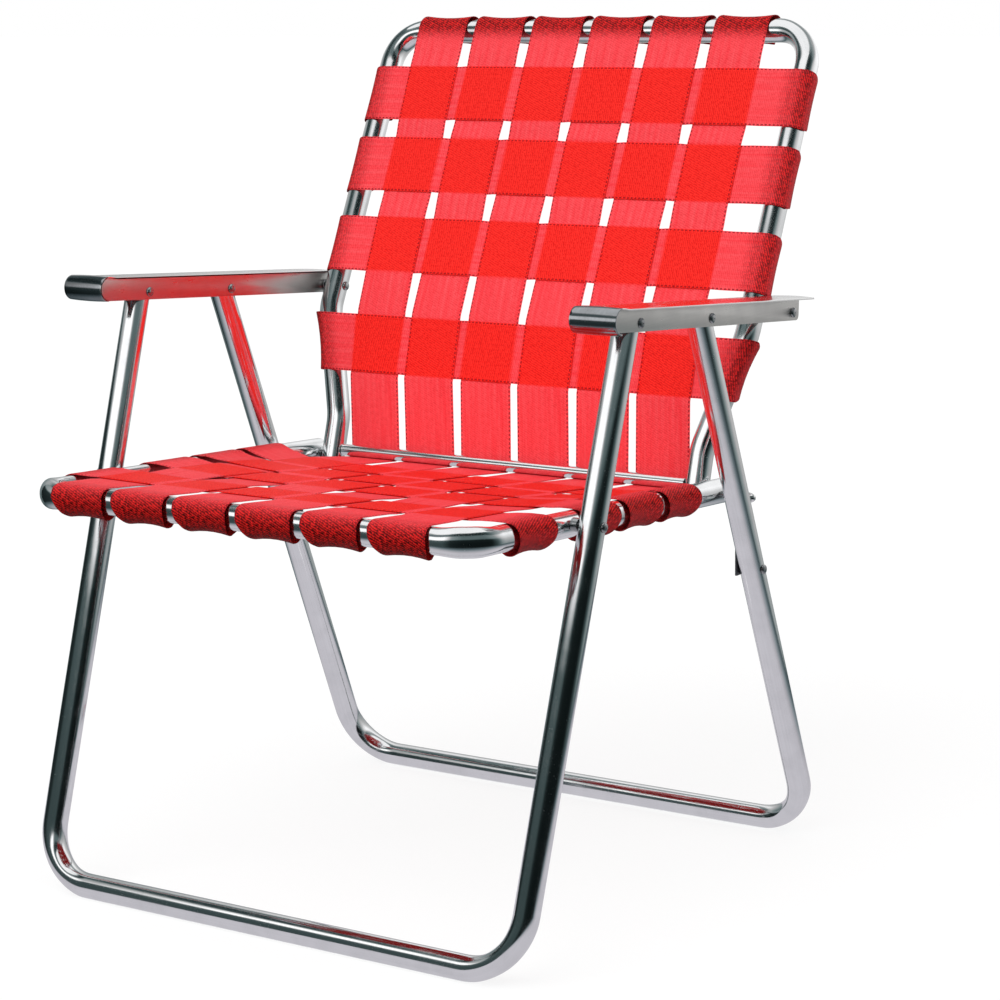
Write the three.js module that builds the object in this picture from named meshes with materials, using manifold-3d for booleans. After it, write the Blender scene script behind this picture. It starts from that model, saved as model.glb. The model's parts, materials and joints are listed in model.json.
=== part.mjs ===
// Folding webbed lawn chair: four bent tube frames, two channel armrests,
// riveted pivots, hinge pins with two links, and woven seat and back webbing.
// Millimetres, +Z up, the sitter faces -Y. Side view points are (y, z) pairs.
import * as THREE from 'three';
import { mergeVertices } from 'three/addons/utils/BufferGeometryUtils.js';
import Module from 'manifold-3d';

const wasm = await Module();
wasm.setup();

// Tubing
const TUBE_OD = 25.4;
const TUBE_WALL = 1.25;
const TUBE_SIDES = 16;
const BORE_SIDES = 12;
const BEND_STEPS = 6;
const FIT_GAP = 0.3;

// Spans across the chair: the seat rails' axes from the middle, and what stands beside them
const SEAT_HALF_SPAN = 256;
const LEG_OFFSET = 36.5;
const FRONT_LEG_TOE_IN = 9.5;
const REAR_LEG_TOE_OUT = 2.5;
const HINGE_WASHER = 1.6;
const BACK_WASHER = 2.3;

// Side view of the linkage
const ARM_PIVOT_HEIGHT = 588;
const ARM_SLOPE = 4.4;
const ARM_PIVOT_SPAN = 300.5;
const REAR_LEG_SETBACK = 167;
const SEAT_PIVOT_DROP = 190;
const FRONT_LEG_LEAN = 17.94;
const REAR_LEG_LEAN = 22.04;
const FOLDED_ANGLE = 19.5;
const FOLDED_SPLAY = 4;
const SEAT_PIN_RISE = 2.5;
const HINGE_PIN_DROP = 4;
const SEAT_OVERHANG = 147.25;
const BACK_LEAN = 25.69;
const BACK_RISE = 306;
const BACK_BEND_DROP = 28;
const BACK_TAPER_START = 45;

// Bends and tube ends
const FLOOR_BEND = 70;
const SEAT_BEND = 36;
const BACK_TOP_BEND = 40;
const BACK_TAPER_BEND = 70;
const LEG_STUB = 6;
const RAIL_STUB = 11;
const UPRIGHT_STUB = 11;

// Armrest: a channel, and a wider strip over it that is rolled under at the nose
const ARM_WIDTH = 31;
const ARM_OVERHANG = 18;
const ARM_DEPTH = 24;
const ARM_GAUGE = 1.5;
const ARM_TOP = 16.1;
const ARM_NOSE_REACH = 76;
const ARM_WALL_TAIL = 12;
const ARM_STRIP_TAIL = 18;
const ARM_CORNER = 11;

// Pivot hardware
const PIN_RADIUS = 3;
const HEAD_RADIUS = 5;
const HEAD_HEIGHT = 2.6;
const PIN_SIDES = 12;
const SPACER_RADIUS = 6.5;
const STRETCHER_RADIUS = 6.35;
const STRETCHER_WALL = 1;
const STRETCHER_RISE = 8;
const LINK_WIDTH = 16;
const LINK_GAUGE = 2.5;
const LINK_END = 8;
const NUT_RADIUS = 6.5;
const NUT_BASE = 4;
const NUT_DOME = 4;

// Webbing
const WEB_WIDTH = 63.5;
const WEB_GAUGE = 1.3;
const WEB_LEAST_GAP = 2;
const WEB_FRONT_MARGIN = 36.75;
const WEB_FRONT_OFFSET = -4.5;
const WEB_ROD_MARGIN = 16.5;
const WEB_ROD_OFFSET = 3.3;
const WEB_TOP_MARGIN = 41.5;
const WEB_TOP_OFFSET = -5.5;
const WRAP_STEPS = 12;
const WRAP_TAIL = 205;
const BACK_WEB_RISES = [225.5, 140.5, 46.5];
const LOW_BACK_WEB_DROP = 36.5;
const SEAT_WEB_PLACES = [-204.5, -129.5, -50.5, 61.5];

const RADIUS = TUBE_OD / 2;
const radians = THREE.MathUtils.degToRad;
const side = (y, z) => new THREE.Vector2(y, z);
const along = (point, direction, distance) => point.clone().addScaledVector(direction, distance);
const at = (x, point) => new THREE.Vector3(x, point.x, point.y);

// Half spans of the tube axes. The legs stand outside the rails, the uprights inside the armrests and,
// at the hinge, inside the rails.
const armHalfSpan = SEAT_HALF_SPAN + LEG_OFFSET;
const frontFootHalfSpan = armHalfSpan - FRONT_LEG_TOE_IN;
const rearFootHalfSpan = armHalfSpan + REAR_LEG_TOE_OUT;
const backHalfSpan = armHalfSpan - ARM_WIDTH / 2 - BACK_WASHER - RADIUS;
const hingeHalfSpan = SEAT_HALF_SPAN - HINGE_WASHER - TUBE_OD;

// Directions in the side view
const frontLegDown = side(-Math.sin(radians(FRONT_LEG_LEAN)), -Math.cos(radians(FRONT_LEG_LEAN)));
const rearLegDown = side(Math.sin(radians(REAR_LEG_LEAN)), -Math.cos(radians(REAR_LEG_LEAN)));
const armBack = side(Math.cos(radians(ARM_SLOPE)), -Math.sin(radians(ARM_SLOPE)));
const armUp = side(-armBack.y, armBack.x);
const backUp = side(Math.sin(radians(BACK_LEAN)), Math.cos(radians(BACK_LEAN)));

// Pivots. The armrest, front legs, seat and back make a parallelogram.
const armPivot = side(0, ARM_PIVOT_HEIGHT);
const seatPivot = along(armPivot, frontLegDown, SEAT_PIVOT_DROP);
const backPivot = along(armPivot, armBack, ARM_PIVOT_SPAN);
const hinge = along(seatPivot, armBack, ARM_PIVOT_SPAN);
const rearLegPivot = along(backPivot, armBack, -REAR_LEG_SETBACK);

// The floor bars rest on a flat of the tube section.
const floorAxis = RADIUS * Math.cos(Math.PI / TUBE_SIDES);
const footOf = (pivot, down) => along(pivot, down, (pivot.y - floorAxis) / -down.y);
const frontFoot = footOf(armPivot, frontLegDown);
const rearFoot = footOf(rearLegPivot, rearLegDown);

// The link is pinned where it reaches the hinge both with the chair open and
// folded, when the rear legs splay a little from the front legs.
const openAngle = Math.acos(frontLegDown.dot(armBack));
const foldTurn = openAngle - radians(FOLDED_ANGLE);
const foldedArm = armBack.clone().rotateAround(side(0, 0), -foldTurn);
const foldedRearDown = frontLegDown.clone().rotateAround(side(0, 0), radians(FOLDED_SPLAY));
const foldedHinge = along(seatPivot, foldedArm, ARM_PIVOT_SPAN);
const foldedRearPivot = along(armPivot, foldedArm, ARM_PIVOT_SPAN - REAR_LEG_SETBACK);
const openReach = hinge.clone().sub(rearLegPivot);
const foldedReach = foldedHinge.clone().sub(foldedRearPivot);
const linkDrop = (foldedReach.lengthSq() - openReach.lengthSq())
  / (2 * (foldedReach.dot(foldedRearDown) - openReach.dot(rearLegDown)));
const linkPivot = along(rearLegPivot, rearLegDown, linkDrop);

// Half span of a leg at a side view point, which leans a little in or out
const legSpan = (pivot, foot, footSpan, point) => THREE.MathUtils.mapLinear(
  point.y, foot.y, pivot.y, footSpan, armHalfSpan);

const finish = (color, roughness, metalness) => new THREE.MeshStandardMaterial(
  { color, roughness, metalness });
const polished = finish(0xc8ccd0, 0.16, 1);
const satin = finish(0xbfc1c0, 0.32, 1);
const plated = finish(0x8c9094, 0.3, 1);
const steel = finish(0x3d4144, 0.45, 1);
const webbing = finish(0xd2161b, 0.72, 0);

const chair = new THREE.Group();

function add(name, geometry, material) {
  const mesh = new THREE.Mesh(geometry, material);
  mesh.name = name;
  chair.add(mesh);
}

function toSolid(geometry) {
  const bare = geometry.clone();
  bare.deleteAttribute('normal');
  bare.deleteAttribute('uv');
  const merged = mergeVertices(bare, 1e-4);
  const vertProperties = new Float32Array(merged.attributes.position.array);
  const triVerts = new Uint32Array(merged.index.array);
  return new wasm.Manifold(new wasm.Mesh({ numProp: 3, vertProperties, triVerts }));
}

function toGeometry(solid) {
  const mesh = solid.getMesh();
  const geometry = new THREE.BufferGeometry();
  geometry.setAttribute('position', new THREE.BufferAttribute(mesh.vertProperties, mesh.numProp));
  geometry.setIndex(new THREE.BufferAttribute(mesh.triVerts, 1));
  geometry.computeVertexNormals();
  return geometry;
}

// A round bar or a drill along X, centred on a side view point
function barAcross(radius, fromX, toX, point, sides) {
  const bar = new THREE.CylinderGeometry(radius, radius, toX - fromX, sides);
  bar.rotateZ(Math.PI / 2);
  return bar.translate((fromX + toX) / 2, point.x, point.y);
}

// Cuts a pin hole through everything at each side view point, on both sides of the chair
function drill(solid, points) {
  const reach = armHalfSpan + ARM_WIDTH;
  return points.reduce((left, point) => left.subtract(
    toSolid(barAcross(PIN_RADIUS + FIT_GAP, -reach, reach, point, PIN_SIDES))), solid);
}

// A bent tube's centre line: straight runs between corners, each corner rounded to an arc
class BentTubePath extends THREE.Curve {
  constructor(corners, bends, firstNormal) {
    super();
    this.centres = [corners[0].clone()];
    this.tangents = [corners[1].clone().sub(corners[0]).normalize()];
    corners.slice(1, -1).forEach((corner, i) => this.addBend(corner, corners[i + 2], bends[i]));
    this.centres.push(corners.at(-1).clone());
    this.tangents.push(this.tangents.at(-1).clone());
    this.setFrames(firstNormal);
  }

  addBend(corner, next, radius) {
    const into = this.tangents.at(-1).clone();
    const out = next.clone().sub(corner).normalize();
    const turn = into.angleTo(out);
    const axis = new THREE.Vector3().crossVectors(into, out).normalize();
    const start = corner.clone().addScaledVector(into, -radius * Math.tan(turn / 2));
    const inward = new THREE.Vector3().crossVectors(axis, into);
    const centre = start.clone().addScaledVector(inward, radius);
    for (let step = 0; step <= BEND_STEPS; step += 1) {
      const angle = turn * step / BEND_STEPS;
      const spoke = inward.clone().multiplyScalar(-radius).applyAxisAngle(axis, angle);
      this.centres.push(centre.clone().add(spoke));
      this.tangents.push(into.clone().applyAxisAngle(axis, angle));
    }
  }

  setFrames(firstNormal) {
    const turn = new THREE.Quaternion();
    this.normals = [firstNormal.clone()];
    this.tangents.slice(1).forEach((tangent, i) => {
      turn.setFromUnitVectors(this.tangents[i], tangent);
      this.normals.push(this.normals[i].clone().applyQuaternion(turn));
    });
    this.binormals = this.normals.map((normal, i) => this.tangents[i].clone().cross(normal));
  }

  getSpacedPoints() {
    return this.centres;
  }

  computeFrenetFrames() {
    return { tangents: this.tangents, normals: this.normals, binormals: this.binormals };
  }
}

function polygon(radius, sides, roll) {
  return Array.from({ length: sides }, (_, i) => {
    const angle = roll + 2 * Math.PI * (i + 0.5) / sides;
    return new THREE.Vector2(radius * Math.cos(angle), radius * Math.sin(angle));
  });
}

function tubeAlong(path, radius, wall, roll = 0) {
  const section = new THREE.Shape(polygon(radius, TUBE_SIDES, roll));
  section.holes.push(new THREE.Path(polygon(radius - wall, BORE_SIDES, roll)));
  return new THREE.ExtrudeGeometry(section, { steps: path.centres.length - 1, extrudePath: path });
}

const mirrored = (points) => points.map((point) => new THREE.Vector3(-point.x, point.y, point.z));

// A frame that is the same on both sides: its corners run from the right end to the middle
function frameAcross(corners, bends, firstNormal, roll) {
  const right = [...corners].reverse();
  const allBends = [...bends, ...[...bends].reverse()];
  const path = new BentTubePath([...mirrored(corners), ...right], allBends, firstNormal);
  return toSolid(tubeAlong(path, RADIUS, TUBE_WALL, roll));
}

// Leg frames: two legs and a floor bar, with a flat of the section on the floor
function legFrame(pivot, foot, footSpan, down, lean) {
  const corner = at(footSpan, foot);
  const top = at(armHalfSpan, pivot);
  const up = top.clone().sub(corner).normalize();
  const end = top.addScaledVector(up, LEG_STUB);
  const legNormal = new THREE.Vector3(0, down.y, -down.x);
  const outward = new THREE.Vector3().crossVectors(up, legNormal).normalize();
  return frameAcross([end, corner], [FLOOR_BEND], outward, lean);
}

const frontLegs = legFrame(armPivot, frontFoot, frontFootHalfSpan, frontLegDown, radians(FRONT_LEG_LEAN));
add('front_leg_frame', toGeometry(drill(frontLegs, [armPivot, seatPivot])), polished);

const rearLegs = legFrame(rearLegPivot, rearFoot, rearFootHalfSpan, rearLegDown, radians(-REAR_LEG_LEAN));
add('rear_leg_frame', toGeometry(drill(rearLegs, [rearLegPivot, linkPivot])), polished);

// Seat frame: side rails and a front bar. Its pin holes lie a little off the rails' axes, so the
// seat slopes less than the armrests.
const railAtHinge = along(hinge, armUp, HINGE_PIN_DROP);
const railAtPivot = along(seatPivot, armUp, -SEAT_PIN_RISE);
const seatForward = railAtPivot.clone().sub(railAtHinge).normalize();
const seatFace = side(seatForward.y, -seatForward.x);
const seatDepth = ARM_PIVOT_SPAN + SEAT_OVERHANG;
const seatFront = along(railAtHinge, seatForward, seatDepth);
const seatCorners = [
  at(SEAT_HALF_SPAN, along(railAtHinge, seatForward, -RAIL_STUB)),
  at(SEAT_HALF_SPAN, seatFront),
];
const seatFrame = frameAcross(seatCorners, [SEAT_BEND], new THREE.Vector3(1, 0, 0), 0);
add('seat_frame', toGeometry(drill(seatFrame, [hinge, seatPivot])), polished);

// Back frame: uprights that draw in below the armrests to pass inside the seat rails
const backBend = along(backPivot, backUp, -BACK_BEND_DROP);
const lowBackUp = backBend.clone().sub(hinge).normalize();
const backTop = along(backPivot, backUp, BACK_RISE);
const backCorners = [
  at(hingeHalfSpan, along(hinge, lowBackUp, -UPRIGHT_STUB)),
  at(hingeHalfSpan, along(hinge, lowBackUp, BACK_TAPER_START)),
  at(backHalfSpan, backBend),
  at(backHalfSpan, backTop),
];
const backBends = [BACK_TAPER_BEND, BACK_TAPER_BEND, BACK_TOP_BEND];
const backFrame = frameAcross(backCorners, backBends, new THREE.Vector3(1, 0, 0), 0);
const stretcherAxis = along(hinge, lowBackUp, STRETCHER_RISE);
add('back_frame', toGeometry(drill(backFrame, [hinge, stretcherAxis, backPivot])), polished);

// Armrests: a channel with its mouth down, under a strip that stands out on the outer side
const armFrame = new THREE.Matrix4().makeBasis(
  at(0, armBack), at(0, armUp), new THREE.Vector3(1, 0, 0)).setPosition(at(0, armPivot));
const noseRadius = ARM_DEPTH / 2;

function channelProfile(inset, bottom, tail) {
  const centre = noseRadius - ARM_NOSE_REACH;
  const profile = new THREE.Shape();
  profile.moveTo(tail, bottom);
  profile.lineTo(tail, ARM_TOP - inset);
  profile.lineTo(centre, ARM_TOP - inset);
  profile.absarc(centre, ARM_TOP - noseRadius, noseRadius - inset, Math.PI / 2, 3 * Math.PI / 2, false);
  profile.lineTo(centre, bottom);
  return profile;
}

function across(shape, fromX, toX) {
  const options = { depth: toX - fromX, bevelEnabled: false, curveSegments: 12 };
  return toSolid(new THREE.ExtrudeGeometry(shape, options).translate(0, 0, fromX));
}

// The flat of the strip, seen from above, with its rear corners rounded
function stripFlat(inner, outer, tail) {
  const plan = new THREE.Shape();
  plan.moveTo(0, -outer);
  plan.lineTo(tail - ARM_CORNER, -outer);
  plan.absarc(tail - ARM_CORNER, ARM_CORNER - outer, ARM_CORNER, -Math.PI / 2, 0, false);
  plan.absarc(tail - ARM_CORNER, inner - ARM_CORNER, ARM_CORNER, 0, Math.PI / 2, false);
  plan.lineTo(0, inner);
  const flat = new THREE.ExtrudeGeometry(plan, { depth: ARM_GAUGE, bevelEnabled: false, curveSegments: 6 });
  return toSolid(flat.rotateX(-Math.PI / 2).translate(0, ARM_TOP - ARM_GAUGE, 0));
}

function armrest(x) {
  const inner = ARM_WIDTH / 2;
  const outer = inner + ARM_OVERHANG;
  const wallTail = ARM_PIVOT_SPAN + ARM_WALL_TAIL;
  const bottom = ARM_TOP - ARM_DEPTH;
  const hollow = channelProfile(ARM_GAUGE, bottom - ARM_DEPTH, wallTail + ARM_DEPTH);
  const channel = across(channelProfile(0, bottom, wallTail), -inner, inner)
    .subtract(across(hollow, ARM_GAUGE - inner, inner - ARM_GAUGE));
  const nose = across(channelProfile(0, bottom, ARM_GAUGE), -inner, outer)
    .subtract(across(hollow, -outer, outer + ARM_GAUGE));
  const flat = stripFlat(inner, outer, ARM_PIVOT_SPAN + ARM_STRIP_TAIL);
  const placed = toGeometry(channel.add(nose).add(flat)).applyMatrix4(armFrame).translate(x, 0, 0);
  return toGeometry(drill(toSolid(placed), [armPivot, rearLegPivot, backPivot]));
}

// Rivets: a shank along X with a domed head at each end
function rivet(fromX, toX, point) {
  const dome = (start, sign) => [0.98, 0.7, 0].map((share) => new THREE.Vector2(
    HEAD_RADIUS * share, start + sign * HEAD_HEIGHT * Math.sqrt(1 - share * share)));
  const profile = [
    ...dome(fromX, -1).reverse(),
    new THREE.Vector2(HEAD_RADIUS, fromX),
    new THREE.Vector2(PIN_RADIUS, fromX),
    new THREE.Vector2(PIN_RADIUS, toX),
    new THREE.Vector2(HEAD_RADIUS, toX),
    ...dome(toX, 1),
  ];
  return new THREE.LatheGeometry(profile, PIN_SIDES).rotateZ(-Math.PI / 2).translate(0, point.x, point.y);
}

// Plain sleeves, spacers and washers round a pin
function sleeve(outer, inner, fromX, toX, point) {
  const profile = [
    new THREE.Vector2(inner, fromX),
    new THREE.Vector2(outer, fromX),
    new THREE.Vector2(outer, toX),
    new THREE.Vector2(inner, toX),
    new THREE.Vector2(inner, fromX),
  ];
  return new THREE.LatheGeometry(profile, PIN_SIDES).rotateZ(-Math.PI / 2).translate(0, point.x, point.y);
}

function spacer(fromX, toX, point) {
  return sleeve(SPACER_RADIUS, PIN_RADIUS + FIT_GAP, fromX + FIT_GAP, toX - FIT_GAP, point);
}

function capNut(linkFace, linkBack, point) {
  const base = linkFace + FIT_GAP;
  const dome = [0.9, 0.6, 0].map((share) => new THREE.Vector2(
    NUT_RADIUS * share, base + NUT_BASE + NUT_DOME * Math.sqrt(1 - share * share)));
  const profile = [
    new THREE.Vector2(0, linkBack),
    new THREE.Vector2(PIN_RADIUS, linkBack),
    new THREE.Vector2(PIN_RADIUS, base),
    new THREE.Vector2(NUT_RADIUS, base),
    new THREE.Vector2(NUT_RADIUS, base + NUT_BASE),
    ...dome,
  ];
  return new THREE.LatheGeometry(profile, PIN_SIDES).rotateZ(-Math.PI / 2).translate(0, point.x, point.y);
}

// Flat link: round at the hinge, cut square past the rear leg rivet
function link(fromX) {
  const length = hinge.distanceTo(linkPivot);
  const half = LINK_WIDTH / 2;
  const outline = new THREE.Shape();
  outline.moveTo(-LINK_END, -half);
  outline.lineTo(length, -half);
  outline.absarc(length, 0, half, -Math.PI / 2, Math.PI / 2, false);
  outline.lineTo(-LINK_END, half);
  for (const place of [0, length]) {
    outline.holes.push(new THREE.Path().absarc(place, 0, PIN_RADIUS + FIT_GAP, 0, 2 * Math.PI, true));
  }
  const options = { depth: LINK_GAUGE, bevelEnabled: false, curveSegments: 12 };
  const plate = new THREE.ExtrudeGeometry(outline, options);
  const up = hinge.clone().sub(linkPivot).normalize();
  const front = side(-up.y, up.x);
  const frame = new THREE.Matrix4().makeBasis(at(0, up), at(0, front), new THREE.Vector3(1, 0, 0));
  return plate.applyMatrix4(frame.setPosition(at(fromX, linkPivot)));
}

// Everything that sits on one side of the chair is made for +X and mirrored to -X.
function mirrorX(geometry) {
  const solid = toSolid(geometry);
  return toGeometry(solid.mirror([1, 0, 0]));
}

function addPair(name, geometry, material) {
  add(`${name}_left`, geometry, material);
  add(`${name}_right`, mirrorX(geometry), material);
}

const armOuter = armHalfSpan + ARM_WIDTH / 2;
const armInner = armHalfSpan - ARM_WIDTH / 2;
const backOuter = backHalfSpan + RADIUS;
const backInner = backHalfSpan - RADIUS;
const frontLegAtSeat = legSpan(armPivot, frontFoot, frontFootHalfSpan, seatPivot);
const rearLegAtLink = legSpan(rearLegPivot, rearFoot, rearFootHalfSpan, linkPivot);
const railOuter = SEAT_HALF_SPAN + RADIUS;
const railInner = SEAT_HALF_SPAN - RADIUS;
const uprightOuter = hingeHalfSpan + RADIUS;
const uprightInner = hingeHalfSpan - RADIUS;
const linkFace = rearLegAtLink - RADIUS - FIT_GAP;
const linkBack = linkFace - LINK_GAUGE;

addPair('armrest', armrest(armHalfSpan), satin);
addPair('front_leg_rivet', rivet(armInner - FIT_GAP, armOuter + FIT_GAP, armPivot), plated);
addPair('rear_leg_rivet', rivet(armInner - FIT_GAP, armOuter + FIT_GAP, rearLegPivot), plated);
addPair('back_rivet', rivet(backInner - FIT_GAP, armOuter + FIT_GAP, backPivot), plated);
addPair('seat_rivet', rivet(railInner - FIT_GAP, frontLegAtSeat + RADIUS + FIT_GAP, seatPivot), plated);
addPair('link_rivet', rivet(linkBack - FIT_GAP, rearLegAtLink + RADIUS + FIT_GAP, linkPivot), plated);
addPair('back_washer', spacer(backOuter, armInner, backPivot), plated);
addPair('seat_spacer', spacer(railOuter, frontLegAtSeat - RADIUS, seatPivot), plated);
addPair('hinge_washer', spacer(uprightOuter, railInner, hinge), plated);
addPair('link_spacer', spacer(railOuter, linkBack, hinge), plated);
addPair('hinge_link', link(linkBack), steel);
addPair('cap_nut', capNut(linkFace, linkBack, hinge), plated);

const hingePin = barAcross(PIN_RADIUS, uprightInner + FIT_GAP, linkBack - FIT_GAP, hinge, PIN_SIDES);
addPair('hinge_pin', hingePin, plated);

// The stretcher tube stands on a rod that ends inside the uprights, a little over the hinge pins.
const stretcherEnd = uprightInner - FIT_GAP;
const stretcherRod = barAcross(PIN_RADIUS, -hingeHalfSpan, hingeHalfSpan, stretcherAxis, PIN_SIDES);
add('stretcher_rod', stretcherRod, plated);
add('stretcher_tube', sleeve(STRETCHER_RADIUS, STRETCHER_RADIUS - STRETCHER_WALL,
  -stretcherEnd, stretcherEnd, stretcherAxis), polished);

// Webbing: a ribbon is a thin band that follows a line of points, made wide across it
function ribbonShape(points) {
  const half = WEB_GAUGE / 2;
  const normals = points.map((point, i) => {
    const before = points[Math.max(i - 1, 0)];
    const after = points[Math.min(i + 1, points.length - 1)];
    const run = after.clone().sub(before).normalize();
    return side(-run.y, run.x);
  });
  const upper = points.map((point, i) => along(point, normals[i], half));
  const lower = points.map((point, i) => along(point, normals[i], -half));
  return new THREE.Shape([...lower, ...upper.reverse()]);
}

function wrap(centre, radius, fromDegrees, toDegrees) {
  return Array.from({ length: WRAP_STEPS + 1 }, (_, i) => {
    const angle = radians(THREE.MathUtils.lerp(fromDegrees, toDegrees, i / WRAP_STEPS));
    return side(centre.x + radius * Math.cos(angle), centre.y + radius * Math.sin(angle));
  });
}

// As many long straps as fit beside each other between the uprights, spread to margins at each bar
const webHeight = RADIUS + FIT_GAP + WEB_GAUGE / 2;
const webRoom = 2 * (hingeHalfSpan - WEB_ROD_MARGIN);
const webCount = Math.floor((webRoom + WEB_LEAST_GAP) / (WEB_WIDTH + WEB_LEAST_GAP));
const webPitch = (halfSpan, margin) => (2 * (halfSpan - margin) - WEB_WIDTH) / (webCount - 1);
const frontPitch = webPitch(SEAT_HALF_SPAN, WEB_FRONT_MARGIN);
const rodPitch = webPitch(hingeHalfSpan, WEB_ROD_MARGIN);
const topPitch = webPitch(backHalfSpan, WEB_TOP_MARGIN);
const seatWebRuns = SEAT_WEB_PLACES.map((place) => ARM_PIVOT_SPAN + place);
const lowBackWebRise = SEAT_PIVOT_DROP - BACK_BEND_DROP - LOW_BACK_WEB_DROP;
const weaveStep = WEB_GAUGE + FIT_GAP;
const rodWrap = STRETCHER_RADIUS + FIT_GAP + WEB_GAUGE / 2;

// Over and under the cross straps, whose middles stand at the given distances along the line
function weave(runs, height, startsOver) {
  return runs.flatMap((run, i) => {
    const level = height + ((i % 2 === 0) === startsOver ? weaveStep : -weaveStep);
    return [side(run - WEB_WIDTH / 2, level), side(run + WEB_WIDTH / 2, level)];
  });
}

// Local lines run from the hinge: x along the frame, y off its face, turned into side view points
const placeOn = (origin, run, face) => (point) => origin.clone()
  .addScaledVector(run, point.x).addScaledVector(face, point.y);
const lowBackFace = side(-lowBackUp.y, lowBackUp.x);
const backFace = side(-backUp.y, backUp.x);
const onSeat = placeOn(railAtHinge, seatForward, seatFace);
const onLowBack = placeOn(hinge, lowBackUp, lowBackFace);
const onBack = placeOn(backPivot, backUp, backFace);

// A long strap, which spreads from its place on the rod to its place on the bar
function stripAcross(points, rodX, barX, reach) {
  const shape = ribbonShape(points);
  const strip = new THREE.ExtrudeGeometry(shape, { depth: WEB_WIDTH, bevelEnabled: false });
  const frame = new THREE.Matrix4().makeBasis(
    new THREE.Vector3(0, 1, 0), new THREE.Vector3(0, 0, 1), new THREE.Vector3(1, 0, 0));
  strip.applyMatrix4(frame.setPosition(rodX - WEB_WIDTH / 2, 0, 0));
  const { position } = strip.attributes;
  for (let i = 0; i < position.count; i += 1) {
    const run = side(position.getY(i), position.getZ(i)).distanceTo(stretcherAxis);
    position.setX(i, position.getX(i) + (barX - rodX) * run / reach);
  }
  return strip;
}

// Round the rod, seat and back halves of a strap meet behind and below it. Local angles run from
// the frame's own direction towards its face, and each half leaves the rod on a tangent.
const meetAngle = THREE.MathUtils.radToDeg(seatForward.angleTo(lowBackUp)) / 2 - 180;
const meetGap = THREE.MathUtils.radToDeg(FIT_GAP / rodWrap);

function roundRod(rod, next) {
  const reach = next.clone().sub(rod);
  const leave = reach.angle() - Math.acos(rodWrap / reach.length());
  return wrap(rod, rodWrap, meetAngle + meetGap, THREE.MathUtils.radToDeg(leave));
}

const railToRod = stretcherAxis.clone().sub(railAtHinge);
const seatRod = side(railToRod.dot(seatForward), railToRod.dot(seatFace));
const backRod = side(STRETCHER_RISE, 0);

for (let i = 0; i < webCount; i += 1) {
  const place = i - (webCount - 1) / 2;
  const rodX = place * rodPitch + WEB_ROD_OFFSET;
  const frontX = place * frontPitch + WEB_FRONT_OFFSET;
  const topX = place * topPitch + WEB_TOP_OFFSET;
  const startsOver = i % 2 === 0;
  const frontWrap = wrap(side(seatDepth, 0), webHeight, 90, 90 - WRAP_TAIL);
  const seatWeave = weave(seatWebRuns, webHeight, startsOver);
  const seatLine = [...roundRod(seatRod, seatWeave[0]), ...seatWeave, ...frontWrap].map(onSeat);
  add(`seat_strap_long_${i + 1}`, stripAcross(seatLine, rodX, frontX, seatDepth), webbing);
  const topWrap = wrap(side(BACK_RISE, 0), webHeight, 90, 90 - WRAP_TAIL);
  const lowWeave = weave([lowBackWebRise], webHeight, !startsOver);
  const lowLine = [...roundRod(backRod, lowWeave[0]), ...lowWeave].map(onLowBack);
  const highWeave = weave([...BACK_WEB_RISES].reverse(), webHeight, startsOver);
  const backLine = [...lowLine, ...[...highWeave, ...topWrap].map(onBack)];
  const reach = stretcherAxis.distanceTo(backTop);
  add(`back_strap_long_${i + 1}`, stripAcross(backLine, rodX, topX, reach), webbing);
}

// Cross straps hook round both tubes of a frame. Where the tubes draw in, flare is the slope of
// their axes, and the hook is wider by the slant of the tube's section.
function crossStrap(halfSpan, flare, frame) {
  const slant = Math.hypot(1, flare);
  const hook = wrap(side(0, 0), webHeight, 90, 90 - WRAP_TAIL);
  const right = hook.map((point) => side(halfSpan + slant * point.x, point.y));
  const left = right.map((point) => side(-point.x, point.y)).reverse();
  const shape = ribbonShape([...left, ...right]);
  const strip = new THREE.ExtrudeGeometry(shape, { depth: WEB_WIDTH, bevelEnabled: false });
  strip.translate(0, 0, -WEB_WIDTH / 2);
  const { position } = strip.attributes;
  for (let i = 0; i < position.count; i += 1) {
    const x = position.getX(i);
    position.setX(i, x + Math.sign(x) * flare * position.getZ(i));
  }
  return strip.applyMatrix4(frame);
}

// Strap frame: X across the chair, the face outwards, then down the back or forward on the seat
function crossFrame(face, place) {
  const acrossChair = new THREE.Vector3(1, 0, 0);
  const run = new THREE.Vector3().crossVectors(acrossChair, at(0, face));
  return new THREE.Matrix4().makeBasis(acrossChair, at(0, face), run).setPosition(at(0, place));
}

BACK_WEB_RISES.forEach((rise, i) => {
  const frame = crossFrame(backFace, along(backPivot, backUp, rise));
  add(`back_strap_cross_${i + 1}`, crossStrap(backHalfSpan, 0, frame), webbing);
});

const taperRun = hinge.distanceTo(backBend) - BACK_TAPER_START;
const taper = (backHalfSpan - hingeHalfSpan) / taperRun;
const lowSpan = hingeHalfSpan + taper * (lowBackWebRise - BACK_TAPER_START);
const lowFrame = crossFrame(lowBackFace, along(hinge, lowBackUp, lowBackWebRise));
add('back_strap_cross_4', crossStrap(lowSpan, -taper, lowFrame), webbing);

seatWebRuns.forEach((run, i) => {
  const frame = crossFrame(seatFace, along(railAtHinge, seatForward, run));
  add(`seat_strap_cross_${seatWebRuns.length - i}`, crossStrap(SEAT_HALF_SPAN, 0, frame), webbing);
});

// The origin is on the floor under the middle of the chair.
const box = new THREE.Box3().setFromObject(chair);
chair.position.set(0, -(box.min.y + box.max.y) / 2, -box.min.z);
chair.userData.pivots = { armPivot, seatPivot, backPivot, hinge, rearLegPivot, linkPivot };
chair.userData.folded = { foldTurn, linkDrop, foldedRearDown };

export default chair;
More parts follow.
